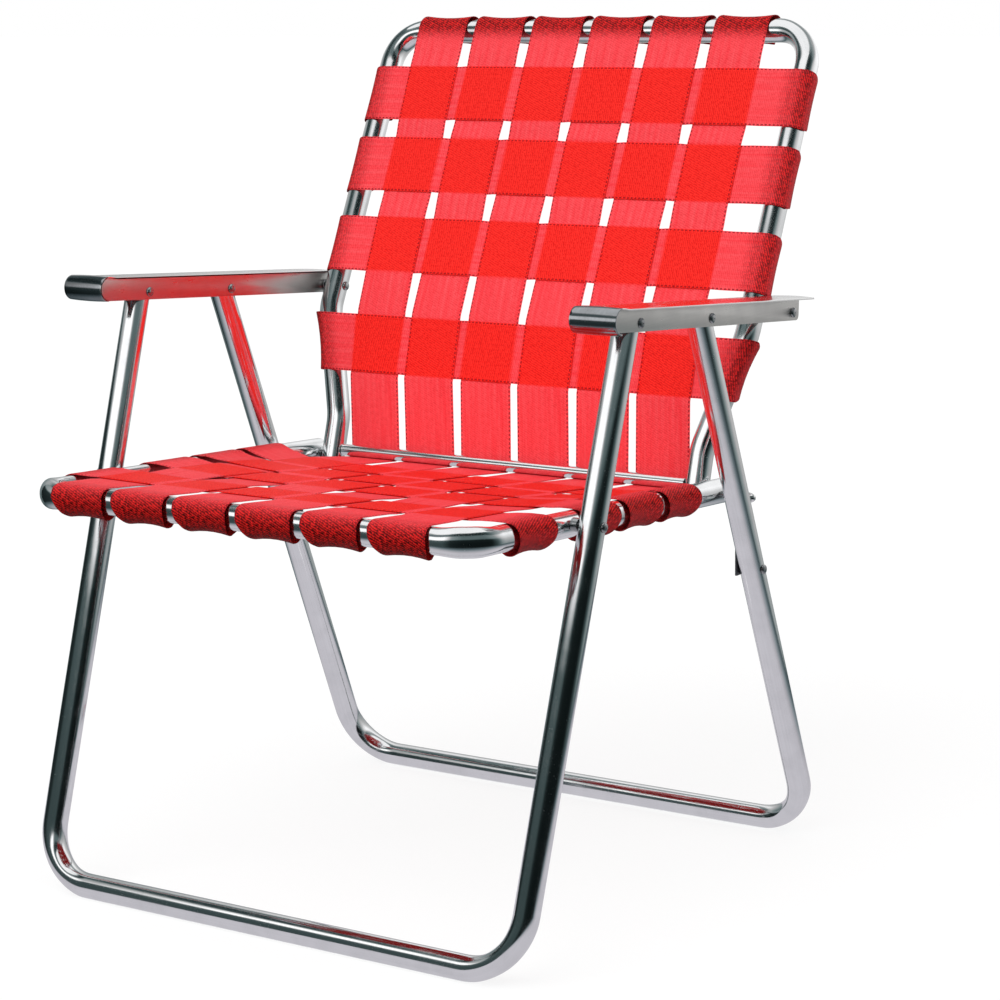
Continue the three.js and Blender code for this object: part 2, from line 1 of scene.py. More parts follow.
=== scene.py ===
"""Folding webbed lawn chair: the looks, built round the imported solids.

Metres, +Z up, the sitter faces -Y and +X is the sitter's left. Side view points are (y, z) pairs.
"""
import json
import logging
import math
from dataclasses import dataclass, field
from enum import Enum, IntEnum
from typing import Any, Sequence

import bmesh
import bpy
import numpy as np
from mathutils import Matrix

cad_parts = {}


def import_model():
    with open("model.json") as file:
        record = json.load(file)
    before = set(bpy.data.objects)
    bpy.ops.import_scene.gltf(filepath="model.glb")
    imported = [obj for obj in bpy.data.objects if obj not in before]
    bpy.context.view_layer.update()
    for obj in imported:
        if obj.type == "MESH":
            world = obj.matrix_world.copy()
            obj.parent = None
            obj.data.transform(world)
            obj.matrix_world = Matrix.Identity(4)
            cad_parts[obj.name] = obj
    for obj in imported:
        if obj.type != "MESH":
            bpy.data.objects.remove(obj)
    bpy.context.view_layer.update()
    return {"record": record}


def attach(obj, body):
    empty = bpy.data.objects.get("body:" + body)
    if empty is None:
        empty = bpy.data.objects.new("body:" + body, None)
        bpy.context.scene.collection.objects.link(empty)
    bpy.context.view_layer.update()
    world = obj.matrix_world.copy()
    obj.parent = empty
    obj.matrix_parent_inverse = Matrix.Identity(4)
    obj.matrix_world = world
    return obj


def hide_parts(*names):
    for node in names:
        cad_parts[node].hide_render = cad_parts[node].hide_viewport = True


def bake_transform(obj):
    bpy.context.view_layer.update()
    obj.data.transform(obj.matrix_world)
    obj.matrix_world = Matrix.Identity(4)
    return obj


LOG = logging.getLogger("lawn_chair")
ACROSS = np.array([1.0, 0.0, 0.0])
UPRIGHT = np.array([0.0, 0.0, 1.0])
MIRROR = np.array([-1.0, 1.0, 1.0])
TINY = 1e-9
NEAR_PARALLEL = 0.1

Vec = np.ndarray
Colour = tuple[float, float, float]
Span = tuple[float, float]
Levels = tuple[float, ...]
Stops = tuple[Span, ...]
Profile = Sequence[Span]
Faces = list[tuple[int, ...]]
Piece = bpy.types.Object
Socket = bpy.types.NodeSocket
Material = bpy.types.Material


class Body(str, Enum):
    """The bodies that pieces ride on."""

    FRONT_LEGS = "front_legs"
    ARMRESTS = "armrests"
    REAR_LEGS = "rear_legs"
    LINKS = "links"
    SEAT = "seat"
    BACK = "back"


class Slot(str, Enum):
    """The record's material slots."""

    TUBE = "frame_tube"
    CHANNEL = "armrest_channel"
    HARDWARE = "hardware"
    LINK = "link_steel"
    WEBBING = "webbing"


class SheetPart(IntEnum):
    """The parts of an armrest, in the order of their materials."""

    CHANNEL = 0
    STRIP = 1
    NOSE = 2


class Hand(Enum):
    """The sitter's two sides, with the sign of their X."""

    LEFT = 1
    RIGHT = -1

    @property
    def word(self) -> str:
        """The word that ends the names of this side's nodes."""
        return self.name.lower()


def unit(vector: Vec) -> Vec:
    """The vector at length one."""
    return vector / np.linalg.norm(vector)


def quarter(vector: Vec) -> Vec:
    """A side view direction turned a quarter turn from y towards z."""
    return np.array([-vector[1], vector[0]])


def at(x: float, point: Vec) -> Vec:
    """A side view point as a place in the frame, at x across the chair."""
    return np.array([x, point[0], point[1]])


def turned(vector: Vec, axis: Vec, angle: float) -> Vec:
    """The vector turned about a unit axis by an angle in radians."""
    kept = axis * np.dot(axis, vector) * (1 - math.cos(angle))
    return vector * math.cos(angle) + np.cross(axis, vector) * math.sin(angle) + kept


def smooth_step(share: Any) -> Any:
    """An S curve from 0 to 1 over a share from 0 to 1."""
    held = np.clip(share, 0.0, 1.0)
    return held * held * (3 - 2 * held)


def run_lengths(points: Sequence[Vec]) -> Vec:
    """How far along a line each of its points is."""
    return np.concatenate([[0.0], np.cumsum(np.linalg.norm(np.diff(points, axis=0), axis=1))])


def arc(centre: Sequence[float], radius: float, start: float, end: float, steps: int) -> Vec:
    """Points of a flat arc between two angles in degrees."""
    angles = np.radians(np.linspace(start, end, steps + 1))
    return np.array(centre) + radius * np.stack([np.cos(angles), np.sin(angles)], axis=1)


def prism_faces(count: int, start: int = 0) -> Faces:
    """Faces of a prism whose two outlines follow each other in a list of points.

    Args:
        count: Points of one outline.
        start: Number of the first point.

    Returns:
        The two ends, then the sides.
    """
    near = range(start, start + count)
    sides = [(here, there, there + count, here + count) for here, there in zip(near, [*near[1:], start])]
    return [tuple(near), tuple(here + count for here in reversed(near)), *sides]


def shell_faces(rows: int, columns: int) -> Faces:
    """Faces of a closed shell made of two layers of a grid, upper layer first.

    Args:
        rows: Rows of the grid.
        columns: Columns of the grid.

    Returns:
        The faces, rims included.
    """
    size = rows * columns
    faces: Faces = []
    for here in (row * columns + column for row in range(rows - 1) for column in range(columns - 1)):
        quad = (here, here + 1, here + columns + 1, here + columns)
        faces += [quad, tuple(size + corner for corner in reversed(quad))]
    rim = [*range(columns), *range(2 * columns - 1, size, columns)]
    rim += [*range(size - 2, size - columns - 1, -1), *range(size - 2 * columns, 0, -columns)]
    return faces + [(there, here, size + here, size + there) for here, there in zip(rim, rim[1:] + rim[:1])]


@dataclass
class SideView:
    """Pivots, directions and main sizes of the chair's side view.

    A name that ends in up, down, back or forward is a direction along a piece, and one that ends in face is
    the direction that its webbing looks in. The other places are pivots and the tubes' axes.
    """

    record: dict[str, Any]
    seat_pin_rise: float = 0.0025
    hinge_pin_drop: float = 0.004
    seat_depth: float = 0.44775
    back_lean: float = math.radians(25.69)
    back_rise: float = 0.306
    back_bend_drop: float = 0.028
    stretcher_rise: float = 0.008

    def __post_init__(self) -> None:
        """Takes the pivots from the record's joints and works out the rest."""
        joints = self.record["behaviour"]["joints"]
        pivots = {joint["name"]: np.array(joint["pos_m"][1:]) for joint in joints}
        self.arm, self.seat, self.hinge = pivots["fold"], pivots["seat_fold"], pivots["back_fold"]
        self.rear_leg, self.link = pivots["rear_leg_fold"], pivots["link_fold"]
        self.back = self.arm + self.hinge - self.seat
        self.arm_back = unit(self.back - self.arm)
        self.arm_up = quarter(self.arm_back)
        self.front_down = unit(self.seat - self.arm)
        self.rear_down = unit(self.link - self.rear_leg)
        self.rail_start = self.hinge + self.hinge_pin_drop * self.arm_up
        self.seat_forward = unit(self.seat - self.seat_pin_rise * self.arm_up - self.rail_start)
        self.seat_face = -quarter(self.seat_forward)
        self.seat_front = self.rail_start + self.seat_depth * self.seat_forward
        self.back_up = np.array([math.sin(self.back_lean), math.cos(self.back_lean)])
        self.back_face = quarter(self.back_up)
        self.back_top = self.back + self.back_rise * self.back_up
        self.back_bend = self.back - self.back_bend_drop * self.back_up
        self.low_back_up = unit(self.back_bend - self.hinge)
        self.low_back_face = quarter(self.low_back_up)
        self.stretcher = self.hinge + self.stretcher_rise * self.low_back_up


class MeshMaker:
    """Turns vertices and faces into finished objects of the scene."""

    BEVEL_SEGMENTS = 2
    BEVEL_ANGLE = math.radians(40)

    @staticmethod
    def make(name: str, points: Vec, faces: Faces, uv: Vec | None = None) -> Piece:
        """Makes an object whose place is in its mesh.

        Args:
            name: The piece's name.
            points: Its vertices, in metres.
            faces: Vertex numbers of its faces.
            uv: A point of the UV map for each vertex, in metres.

        Returns:
            The new object, linked to the scene.
        """
        mesh = bpy.data.meshes.new(name)
        mesh.from_pydata([tuple(point) for point in points], [], faces)
        if uv is not None:
            layer = mesh.uv_layers.new(name="surface")
            for loop in mesh.loops:
                layer.data[loop.index].uv = uv[loop.vertex_index]
        piece = bpy.data.objects.new(name, mesh)
        bpy.context.scene.collection.objects.link(piece)
        return piece

    @staticmethod
    def settle(piece: Piece) -> None:
        """Makes the modifiers' result the piece's own mesh and removes them.

        Args:
            piece: The piece.
        """
        graph = bpy.context.evaluated_depsgraph_get()
        settled = bpy.data.meshes.new_from_object(piece.evaluated_get(graph))
        piece.modifiers.clear()
        piece.data = settled

    @staticmethod
    def shade(piece: Piece, sharp: float) -> None:
        """Shades the piece smooth, with edges over an angle in degrees kept sharp."""
        piece.data.polygons.foreach_set("use_smooth", [True] * len(piece.data.polygons))
        piece.data.set_sharp_from_angle(angle=math.radians(sharp))

    @classmethod
    def smooth(cls, piece: Piece, sharp: float, rounded: float = 0.0) -> None:
        """Points the faces of closed shells outwards, rounds their edges and shades them smooth.

        Args:
            piece: The piece.
            sharp: The angle in degrees over which an edge stays sharp.
            rounded: How far a round reaches from an edge, or 0 for none.
        """
        shell = bmesh.new()
        shell.from_mesh(piece.data)
        bmesh.ops.recalc_face_normals(shell, faces=shell.faces)
        shell.to_mesh(piece.data)
        shell.free()
        if rounded:
            bevel = piece.modifiers.new("rounded_edges", "BEVEL")
            bevel.width = rounded
            bevel.segments = cls.BEVEL_SEGMENTS
            bevel.limit_method = "ANGLE"
            bevel.angle_limit = cls.BEVEL_ANGLE
            cls.settle(piece)
        cls.shade(piece, sharp)


def fit(piece: Piece, nodes: Sequence[str], body: Body | None = None,
        material: Material | None = None) -> None:
    """Dresses a piece and puts it in place of its solids.

    Args:
        piece: The piece.
        nodes: The solids that it stands for.
        body: The body that it rides on, unless it lies between two.
        material: Its finish, unless it has it already.
    """
    if material:
        piece.data.materials.append(material)
    if body:
        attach(piece, body.value)
    if nodes:
        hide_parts(*nodes)
    LOG.info("%s: %d faces", piece.name, len(piece.data.polygons))


class Bench:
    """Adds and joins nodes in one node tree."""

    def __init__(self, tree: bpy.types.NodeTree) -> None:
        """Takes the tree to work on."""
        self.tree = tree

    def add(self, kind: str, values: dict[Any, Any] | None = None, **settings: Any) -> bpy.types.Node:
        """Adds a node.

        Args:
            kind: The node's type.
            values: What each input gets: a socket to join, or a constant.
            settings: Properties of the node.

        Returns:
            The new node.
        """
        node = self.tree.nodes.new(kind)
        for name, setting in settings.items():
            setattr(node, name, setting)
        self.fill(node, values or {})
        return node

    def fill(self, node: bpy.types.Node, values: dict[Any, Any]) -> None:
        """Joins sockets to a node's inputs, or sets their constants.

        Args:
            node: The node.
            values: What each input gets; a constant colour has three parts.
        """
        for key, value in values.items():
            target = node.inputs[key]
            if isinstance(value, Socket):
                self.tree.links.new(value, target)
            else:
                target.default_value = (*value, 1) if target.type == "RGBA" else value

    def math(self, operation: str, *values: Any) -> Socket:
        """The result of a Math node."""
        return self.add("ShaderNodeMath", dict(enumerate(values)), operation=operation).outputs[0]

    def spread(self, value: Any, low: float, high: float, to_low: float = 0.0, to_high: float = 1.0,
               kind: str = "LINEAR") -> Socket:
        """A value mapped from one range to another, held at its ends."""
        values = {"Value": value, "From Min": low, "From Max": high, "To Min": to_low, "To Max": to_high}
        return self.add("ShaderNodeMapRange", values, interpolation_type=kind).outputs[0]

    def blend(self, share: Any, first: Any, second: Any, kind: str = "MIX") -> Socket:
        """Two colours mixed by a share."""
        values = {0: share, 6: first, 7: second}
        return self.add("ShaderNodeMix", values, data_type="RGBA", blend_type=kind).outputs[2]

    def noise(self, place: Socket, scale: Any, detail: float, roughness: float = 0.5) -> Socket:
        """The level of a noise."""
        values = {"Vector": place, "Scale": scale, "Detail": detail, "Roughness": roughness}
        return self.add("ShaderNodeTexNoise", values).outputs[0]

    def stretch(self, place: Socket, by: Any) -> Socket:
        """A place multiplied part by part."""
        return self.add("ShaderNodeVectorMath", {0: place, 1: by}, operation="MULTIPLY").outputs[0]

    def seen(self) -> Socket:
        """Tells direct looks from light that bounces off dull surfaces.

        Returns:
            1 for a look straight at a surface, by a mirror or through glass, and else 0.
        """
        rays = self.add("ShaderNodeLightPath").outputs
        direct = self.math("MAXIMUM", rays["Is Camera Ray"], rays["Is Glossy Ray"])
        return self.math("MAXIMUM", direct, rays["Is Transmission Ray"])


@dataclass
class ShaderGroups:
    """Surface effects that finishes share, built once."""

    line_detail: float = 3.0
    line_range: Span = (0.3, 0.7)
    smudge_detail: float = 4.0
    smudge_range: Span = (0.35, 0.7)
    speck_scale: float = 900.0
    speck_detail: float = 1.0
    speck_range: Span = (0.68, 0.78)
    weave_detail: float = 2.0
    grain_stretch: Colour = (330.0, 230.0, 1.0)
    grain_roughness: float = 0.65
    grain_range: Span = (0.34, 0.66)
    band_stretch: Colour = (260.0, 9.0, 1.0)
    band_range: Span = (0.3, 0.7)
    mottle: float = 3.6
    selvedge: Span = (0.0032, 0.0044)
    stitch_near: Span = (0.0004, 0.0008)
    stitch_far: Span = (0.0018, 0.0022)
    stitch_length: float = 0.0046
    stitch_gap: float = -0.1
    rib_height: float = 0.45

    def __post_init__(self) -> None:
        """Builds the groups."""
        self.drawn = self._drawn_lines()
        self.weave = self._strap_weave()

    @staticmethod
    def _new(name: str, inputs: Sequence[str], outputs: Sequence[str]) -> tuple[Bench, Any, bpy.types.Node]:
        """Starts a shader group.

        Args:
            name: The group's name.
            inputs: Names of its inputs, of which Place and Stretch are vectors.
            outputs: Names of its outputs, all plain values.

        Returns:
            A bench on its tree, what it is given, and its output node.
        """
        tree = bpy.data.node_groups.new(name, "ShaderNodeTree")
        for label in inputs:
            kind = "NodeSocketVector" if label in ("Place", "Stretch") else "NodeSocketFloat"
            tree.interface.new_socket(name=label, in_out="INPUT", socket_type=kind)
        for label in outputs:
            tree.interface.new_socket(name=label, in_out="OUTPUT", socket_type="NodeSocketFloat")
        bench = Bench(tree)
        return bench, bench.add("NodeGroupInput").outputs, bench.add("NodeGroupOutput")

    def _drawn_lines(self) -> bpy.types.NodeTree:
        """Lines left by drawing or brushing metal, smudges and small specks.

        Returns:
            The group's tree.
        """
        bench, given, put = self._new("drawn_metal", ("Place", "Stretch", "Smudge Scale"),
                                      ("Lines", "Smudge", "Specks"))
        lines = bench.noise(bench.stretch(given["Place"], given["Stretch"]), 1.0, self.line_detail)
        smudge = bench.noise(given["Place"], given["Smudge Scale"], self.smudge_detail)
        specks = bench.noise(given["Place"], self.speck_scale, self.speck_detail)
        bench.fill(put, {"Lines": bench.spread(lines, *self.line_range),
                         "Smudge": bench.spread(smudge, *self.smudge_range, kind="SMOOTHSTEP"),
                         "Specks": bench.spread(specks, *self.speck_range)})
        return bench.tree

    def _strap_weave(self) -> bpy.types.NodeTree:
        """Warp ribs, picks and stitched selvedges of a flat strap, on a UV map in metres.

        Returns:
            The group's tree.
        """
        bench, given, put = self._new("strap_weave", ("Place", "Half Width", "Warp", "Pick"),
                                      ("Height", "Rib", "Stitch", "Selvedge", "Band", "Grain"))
        place = given["Place"]
        over, along, _ = bench.add("ShaderNodeSeparateXYZ", {0: place}).outputs
        warp = bench.math("MULTIPLY", bench.math("DIVIDE", over, given["Warp"]), math.tau)
        pick = bench.math("MULTIPLY", bench.math("DIVIDE", along, given["Pick"]), math.tau)
        grain = bench.stretch(place, self.grain_stretch)
        grain = bench.noise(grain, 1.0, self.weave_detail, self.grain_roughness)
        grain = bench.spread(grain, *self.grain_range)
        slant = bench.math("MULTIPLY_ADD", grain, self.mottle, bench.math("MULTIPLY_ADD", warp, 0.5, pick))
        rib, twill = (bench.math("MULTIPLY_ADD", bench.math("SINE", turn), 0.5, 0.5)
                      for turn in (warp, slant))
        inside = bench.math("SUBTRACT", given["Half Width"], bench.math("ABSOLUTE", over))
        line = bench.math("MULTIPLY", bench.spread(inside, *self.stitch_near),
                          bench.spread(inside, *self.stitch_far, 1.0, 0.0))
        dash = bench.math("SINE", bench.math("MULTIPLY", along, math.tau / self.stitch_length))
        dash = bench.math("GREATER_THAN", dash, self.stitch_gap)
        band = bench.noise(bench.stretch(place, self.band_stretch), 1.0, self.weave_detail)
        bench.fill(put, {
            "Height": bench.math("ADD", bench.math("MULTIPLY", rib, self.rib_height),
                                 bench.math("MULTIPLY", twill, 1 - self.rib_height)),
            "Rib": twill, "Stitch": bench.math("MULTIPLY", line, dash),
            "Selvedge": bench.spread(inside, *self.selvedge, 1.0, 0.0, "SMOOTHSTEP"),
            "Band": bench.spread(band, *self.band_range), "Grain": grain})
        return bench.tree


def start_material(name: str) -> tuple[Material, Bench, bpy.types.Node]:
    """Starts a node material.

    Args:
        name: The material's name.

    Returns:
        The material, a bench on its tree, and its Principled shader.
    """
    material = bpy.data.materials.new(name)
    material.use_nodes = True
    return material, Bench(material.node_tree), material.node_tree.nodes["Principled BSDF"]


@dataclass(frozen=True)
class MetalFinish:
    """A metal with drawing lines, smudges and specks."""

    name: str
    colour: Colour
    dull: Colour
    roughness: float
    spread: float
    stretch: Colour
    smudge_scale: float
    bump: float
    on_uv: bool = False
    line_wear: float = 0.35
    smudge_wear: float = 0.5
    line_spread: float = 0.6
    speck_spread: float = 0.15
    bump_depth: float = 0.0001

    def build(self, groups: ShaderGroups) -> Material:
        """Makes the material.

        Args:
            groups: The shared surface effects.

        Returns:
            The finished material.
        """
        material, bench, shader = start_material(self.name)
        place = bench.add("ShaderNodeTexCoord").outputs["UV" if self.on_uv else "Object"]
        values = {"Place": place, "Stretch": self.stretch, "Smudge Scale": self.smudge_scale}
        drawn = bench.add("ShaderNodeGroup", node_tree=groups.drawn)
        bench.fill(drawn, values)
        lines, smudge, specks = drawn.outputs
        worn = bench.math("MULTIPLY", smudge, self.smudge_wear)
        worn = bench.math("MULTIPLY_ADD", lines, self.line_wear, worn)
        rough = bench.math("MULTIPLY_ADD", smudge, self.spread, self.roughness)
        rough = bench.math("MULTIPLY_ADD", lines, self.spread * self.line_spread, rough)
        rough = bench.math("MULTIPLY_ADD", specks, self.speck_spread, rough)
        bump = bench.add("ShaderNodeBump", {
            "Strength": self.bump, "Distance": self.bump_depth, "Height": lines})
        bench.fill(shader, {"Base Color": bench.blend(worn, self.colour, self.dull), "Roughness": rough,
                            "Metallic": 1.0, "Normal": bump.outputs[0]})
        return material


@dataclass(frozen=True)
class WebbingFinish:
    """Woven plastic strap with light painted into its colour: lighter where light shows through one layer,
    less through two, painted shade where a tube backs it, and painted highlights on its twill there.
    """

    name: str = "red_woven_strap"
    # Painted light through the strap: one layer lets more light through, so it is lighter and pinker than
    # two.
    thin: Colour = (1.0, 0.105, 0.122)
    stripe: Colour = (0.95, 0.045, 0.060)
    deep: Colour = (0.99, 0.030, 0.022)
    # Painted shade of a strap lying on a tube, which blocks the light from behind, and a painted highlight on
    # its twill there.
    tube_shade: Colour = (0.045, 0.001, 0.001)
    glint: Colour = (0.74, 0.012, 0.010)
    thread: Colour = (0.62, 0.002, 0.003)
    stitch: Colour = (0.20, 0.004, 0.010)
    half_width: float = 0.03175
    warp: float = 0.0028
    pick: float = 0.0025
    band_share: float = 0.85
    stitch_share: float = 0.8
    dark_grain: float = 0.75
    dark_range: Levels = (0.15, 1.4, 0.75, 0.0)
    single_dark: float = 0.55
    lit_grain: float = 1.1
    lit_range: Span = (0.65, 1.65)
    roughness: Span = (0.66, 0.46)
    specular: float = 0.07
    selvedge_rise: float = 0.5
    bump: float = 0.5
    bump_depth: float = 0.0004

    def build(self, groups: ShaderGroups) -> Material:
        """Makes the material.

        Args:
            groups: The shared surface effects.

        Returns:
            The finished material.
        """
        material, bench, shader = start_material(self.name)
        node = bench.add("ShaderNodeGroup", node_tree=groups.weave)
        place = bench.add("ShaderNodeTexCoord").outputs["UV"]
        bench.fill(node, {"Place": place, "Half Width": self.half_width, "Warp": self.warp,
                          "Pick": self.pick})
        weave = node.outputs
        # How far a second layer lies on the strap, and how much painted shade a tube behind it gives.
        doubled, tube_shade = (bench.add("ShaderNodeAttribute", attribute_name=name).outputs["Fac"]
                           for name in ("doubled", "tube_shade"))
        colour = bench.blend(bench.math("MULTIPLY", weave["Band"], self.band_share), self.thin, self.stripe)
        colour = bench.blend(doubled, colour, self.deep)
        dark = bench.math("MULTIPLY_ADD", weave["Grain"], self.dark_grain, weave["Rib"])
        dark = bench.math("MULTIPLY", bench.spread(dark, *self.dark_range),
                          bench.spread(doubled, 0.0, 1.0, self.single_dark, 1.0))
        colour = bench.blend(dark, colour, self.thread)
        # Over a tube, the twill picks between the painted shade and the painted highlight.
        lit = bench.math("MULTIPLY_ADD", weave["Grain"], self.lit_grain, weave["Rib"])
        wrapped = bench.blend(bench.spread(lit, *self.lit_range), self.tube_shade, self.glint)
        colour = bench.blend(tube_shade, colour, wrapped)
        stitched = bench.math("MULTIPLY", weave["Stitch"], self.stitch_share)
        height = bench.math("MULTIPLY_ADD", weave["Selvedge"], self.selvedge_rise, weave["Height"])
        bump = bench.add("ShaderNodeBump", {
            "Strength": self.bump, "Distance": self.bump_depth, "Height": height})
        bench.fill(shader, {"Base Color": bench.blend(stitched, colour, self.stitch),
                            "Roughness": bench.spread(weave["Height"], 0.0, 1.0, *self.roughness),
                            "Specular IOR Level": self.specular, "Normal": bump.outputs[0]})
        return material


@dataclass(frozen=True)
class FloorFinish:
    """Pale floor that keeps the chair's shadow."""

    name: str = "pale_floor"
    colour: Colour = (0.20, 0.20, 0.20)
    roughness: float = 0.9
    lift: float = 0.82

    def build(self) -> Material:
        """Makes the material, lifted to white for what sees it directly.

        Returns:
            The finished material.
        """
        material, bench, shader = start_material(self.name)
        lifted = bench.math("MULTIPLY", bench.seen(), self.lift)
        bench.fill(shader, {"Base Color": self.colour, "Roughness": self.roughness, "Specular IOR Level": 0.0,
                            "Emission Color": (1, 1, 1), "Emission Strength": lifted})
        return material


@dataclass(frozen=True)
class CardFinish:
    """Dark and bright studio cards round the set, by turn and by height on their UV map."""

    name: str = "studio_cards"
    around: Stops = (
        (0.0, 0.25), (0.10, 0.45), (0.14, 1.25), (0.285, 1.25), (0.32, 0.30), (0.36, 0.15), (0.46, 0.15),
        (0.52, 0.30), (0.60, 0.9), (0.66, 1.15), (0.70, 1.0), (0.86, 1.0), (0.94, 0.4))
    upward: Stops = (
        (0.36, 0.05), (0.44, 0.05), (0.53, 0.08), (0.56, 1.0), (0.655, 1.0), (0.70, 0.15), (0.85, 0.12),
        (1.0, 0.5))
    sideways: Stops = (
        (0.36, 0.30), (0.50, 0.62), (0.58, 1.0), (0.64, 1.0), (0.70, 0.4), (0.85, 0.25), (1.0, 0.5))
    floor: Stops = ((0.0, 0.62), (0.17, 0.58), (0.29, 0.14), (0.36, 0.05))
    floor_tint: Colour = (0.98, 0.95, 1.02)
    dark_tint: Colour = (0.62, 1.0, 1.02)
    side_turns: Span = (0.48, 0.56)
    floor_levels: Span = (0.34, 0.37)
    dark_below: float = 0.45

    @staticmethod
    def _ramp(bench: Bench, value: Socket, stops: Profile) -> Socket:
        """Grey tones along a value.

        Args:
            bench: The material's bench.
            value: The value.
            stops: Places along it and the tone at each.

        Returns:
            The tone.
        """
        node = bench.add("ShaderNodeValToRGB", {0: value})
        while len(node.color_ramp.elements) < len(stops):
            node.color_ramp.elements.new(0.5)
        for element, (place, tone) in zip(node.color_ramp.elements, stops):
            element.position = place
            element.color = (tone, tone, tone, 1)
        return node.outputs[0]

    def build(self) -> Material:
        """Makes the material, which only sends out light.

        Returns:
            The finished material.
        """
        material, bench, shader = start_material(self.name)
        place = bench.add("ShaderNodeTexCoord").outputs["UV"]
        turn, level, _ = bench.add("ShaderNodeSeparateXYZ", {0: place}).outputs
        rise = bench.blend(bench.spread(turn, *self.side_turns), self._ramp(bench, level, self.upward),
                           self._ramp(bench, level, self.sideways))
        wall = bench.blend(1.0, self._ramp(bench, turn, self.around), rise, "MULTIPLY")
        floor = bench.blend(1.0, self._ramp(bench, level, self.floor), self.floor_tint, "MULTIPLY")
        tone = bench.blend(bench.spread(level, *self.floor_levels, 1.0, 0.0), wall, floor)
        cold = bench.blend(1.0, tone, self.dark_tint, "MULTIPLY")
        tone = bench.blend(bench.spread(tone, 0.0, self.dark_below), cold, tone)
        bench.fill(shader, {"Base Color": (0, 0, 0), "Specular IOR Level": 0.0, "Emission Color": tone,
                            "Emission Strength": 1.0})
        return material


class Finishes:
    """All finishes of the chair."""

    def __init__(self) -> None:
        """Builds the shared effects and each material once."""
        groups = ShaderGroups()
        self.tube = MetalFinish("polished_tube", (0.90, 0.91, 0.92), (0.78, 0.79, 0.80), 0.08, 0.07,
                                (520.0, 6.0, 1.0), 38.0, 0.08, on_uv=True).build(groups)
        self.channel = MetalFinish("satin_channel", (0.64, 0.63, 0.61), (0.56, 0.55, 0.54), 0.26, 0.06,
                                   (700.0, 12.0, 700.0), 30.0, 0.10).build(groups)
        self.strip = MetalFinish("polished_strip", (0.88, 0.88, 0.88), (0.76, 0.76, 0.76), 0.10, 0.08,
                                 (700.0, 12.0, 700.0), 30.0, 0.10).build(groups)
        # The nose is rolled from the strip's own sheet; its darker metal colour paints in the dark
        # reflections it shows.
        self.nose = MetalFinish("rolled_nose_dark_reflection", (0.36, 0.38, 0.40), (0.26, 0.27, 0.28), 0.09, 0.06,
                                (300.0, 12.0, 300.0), 40.0, 0.10).build(groups)
        self.plated = MetalFinish("plated_steel", (0.44, 0.45, 0.46), (0.26, 0.27, 0.28), 0.18, 0.15,
                                  (300.0, 300.0, 300.0), 120.0, 0.12).build(groups)
        self.dark = MetalFinish("dark_steel", (0.13, 0.14, 0.15), (0.06, 0.065, 0.07), 0.34, 0.18,
                                (160.0, 160.0, 30.0), 80.0, 0.2).build(groups)
        self.webbing = WebbingFinish().build(groups)


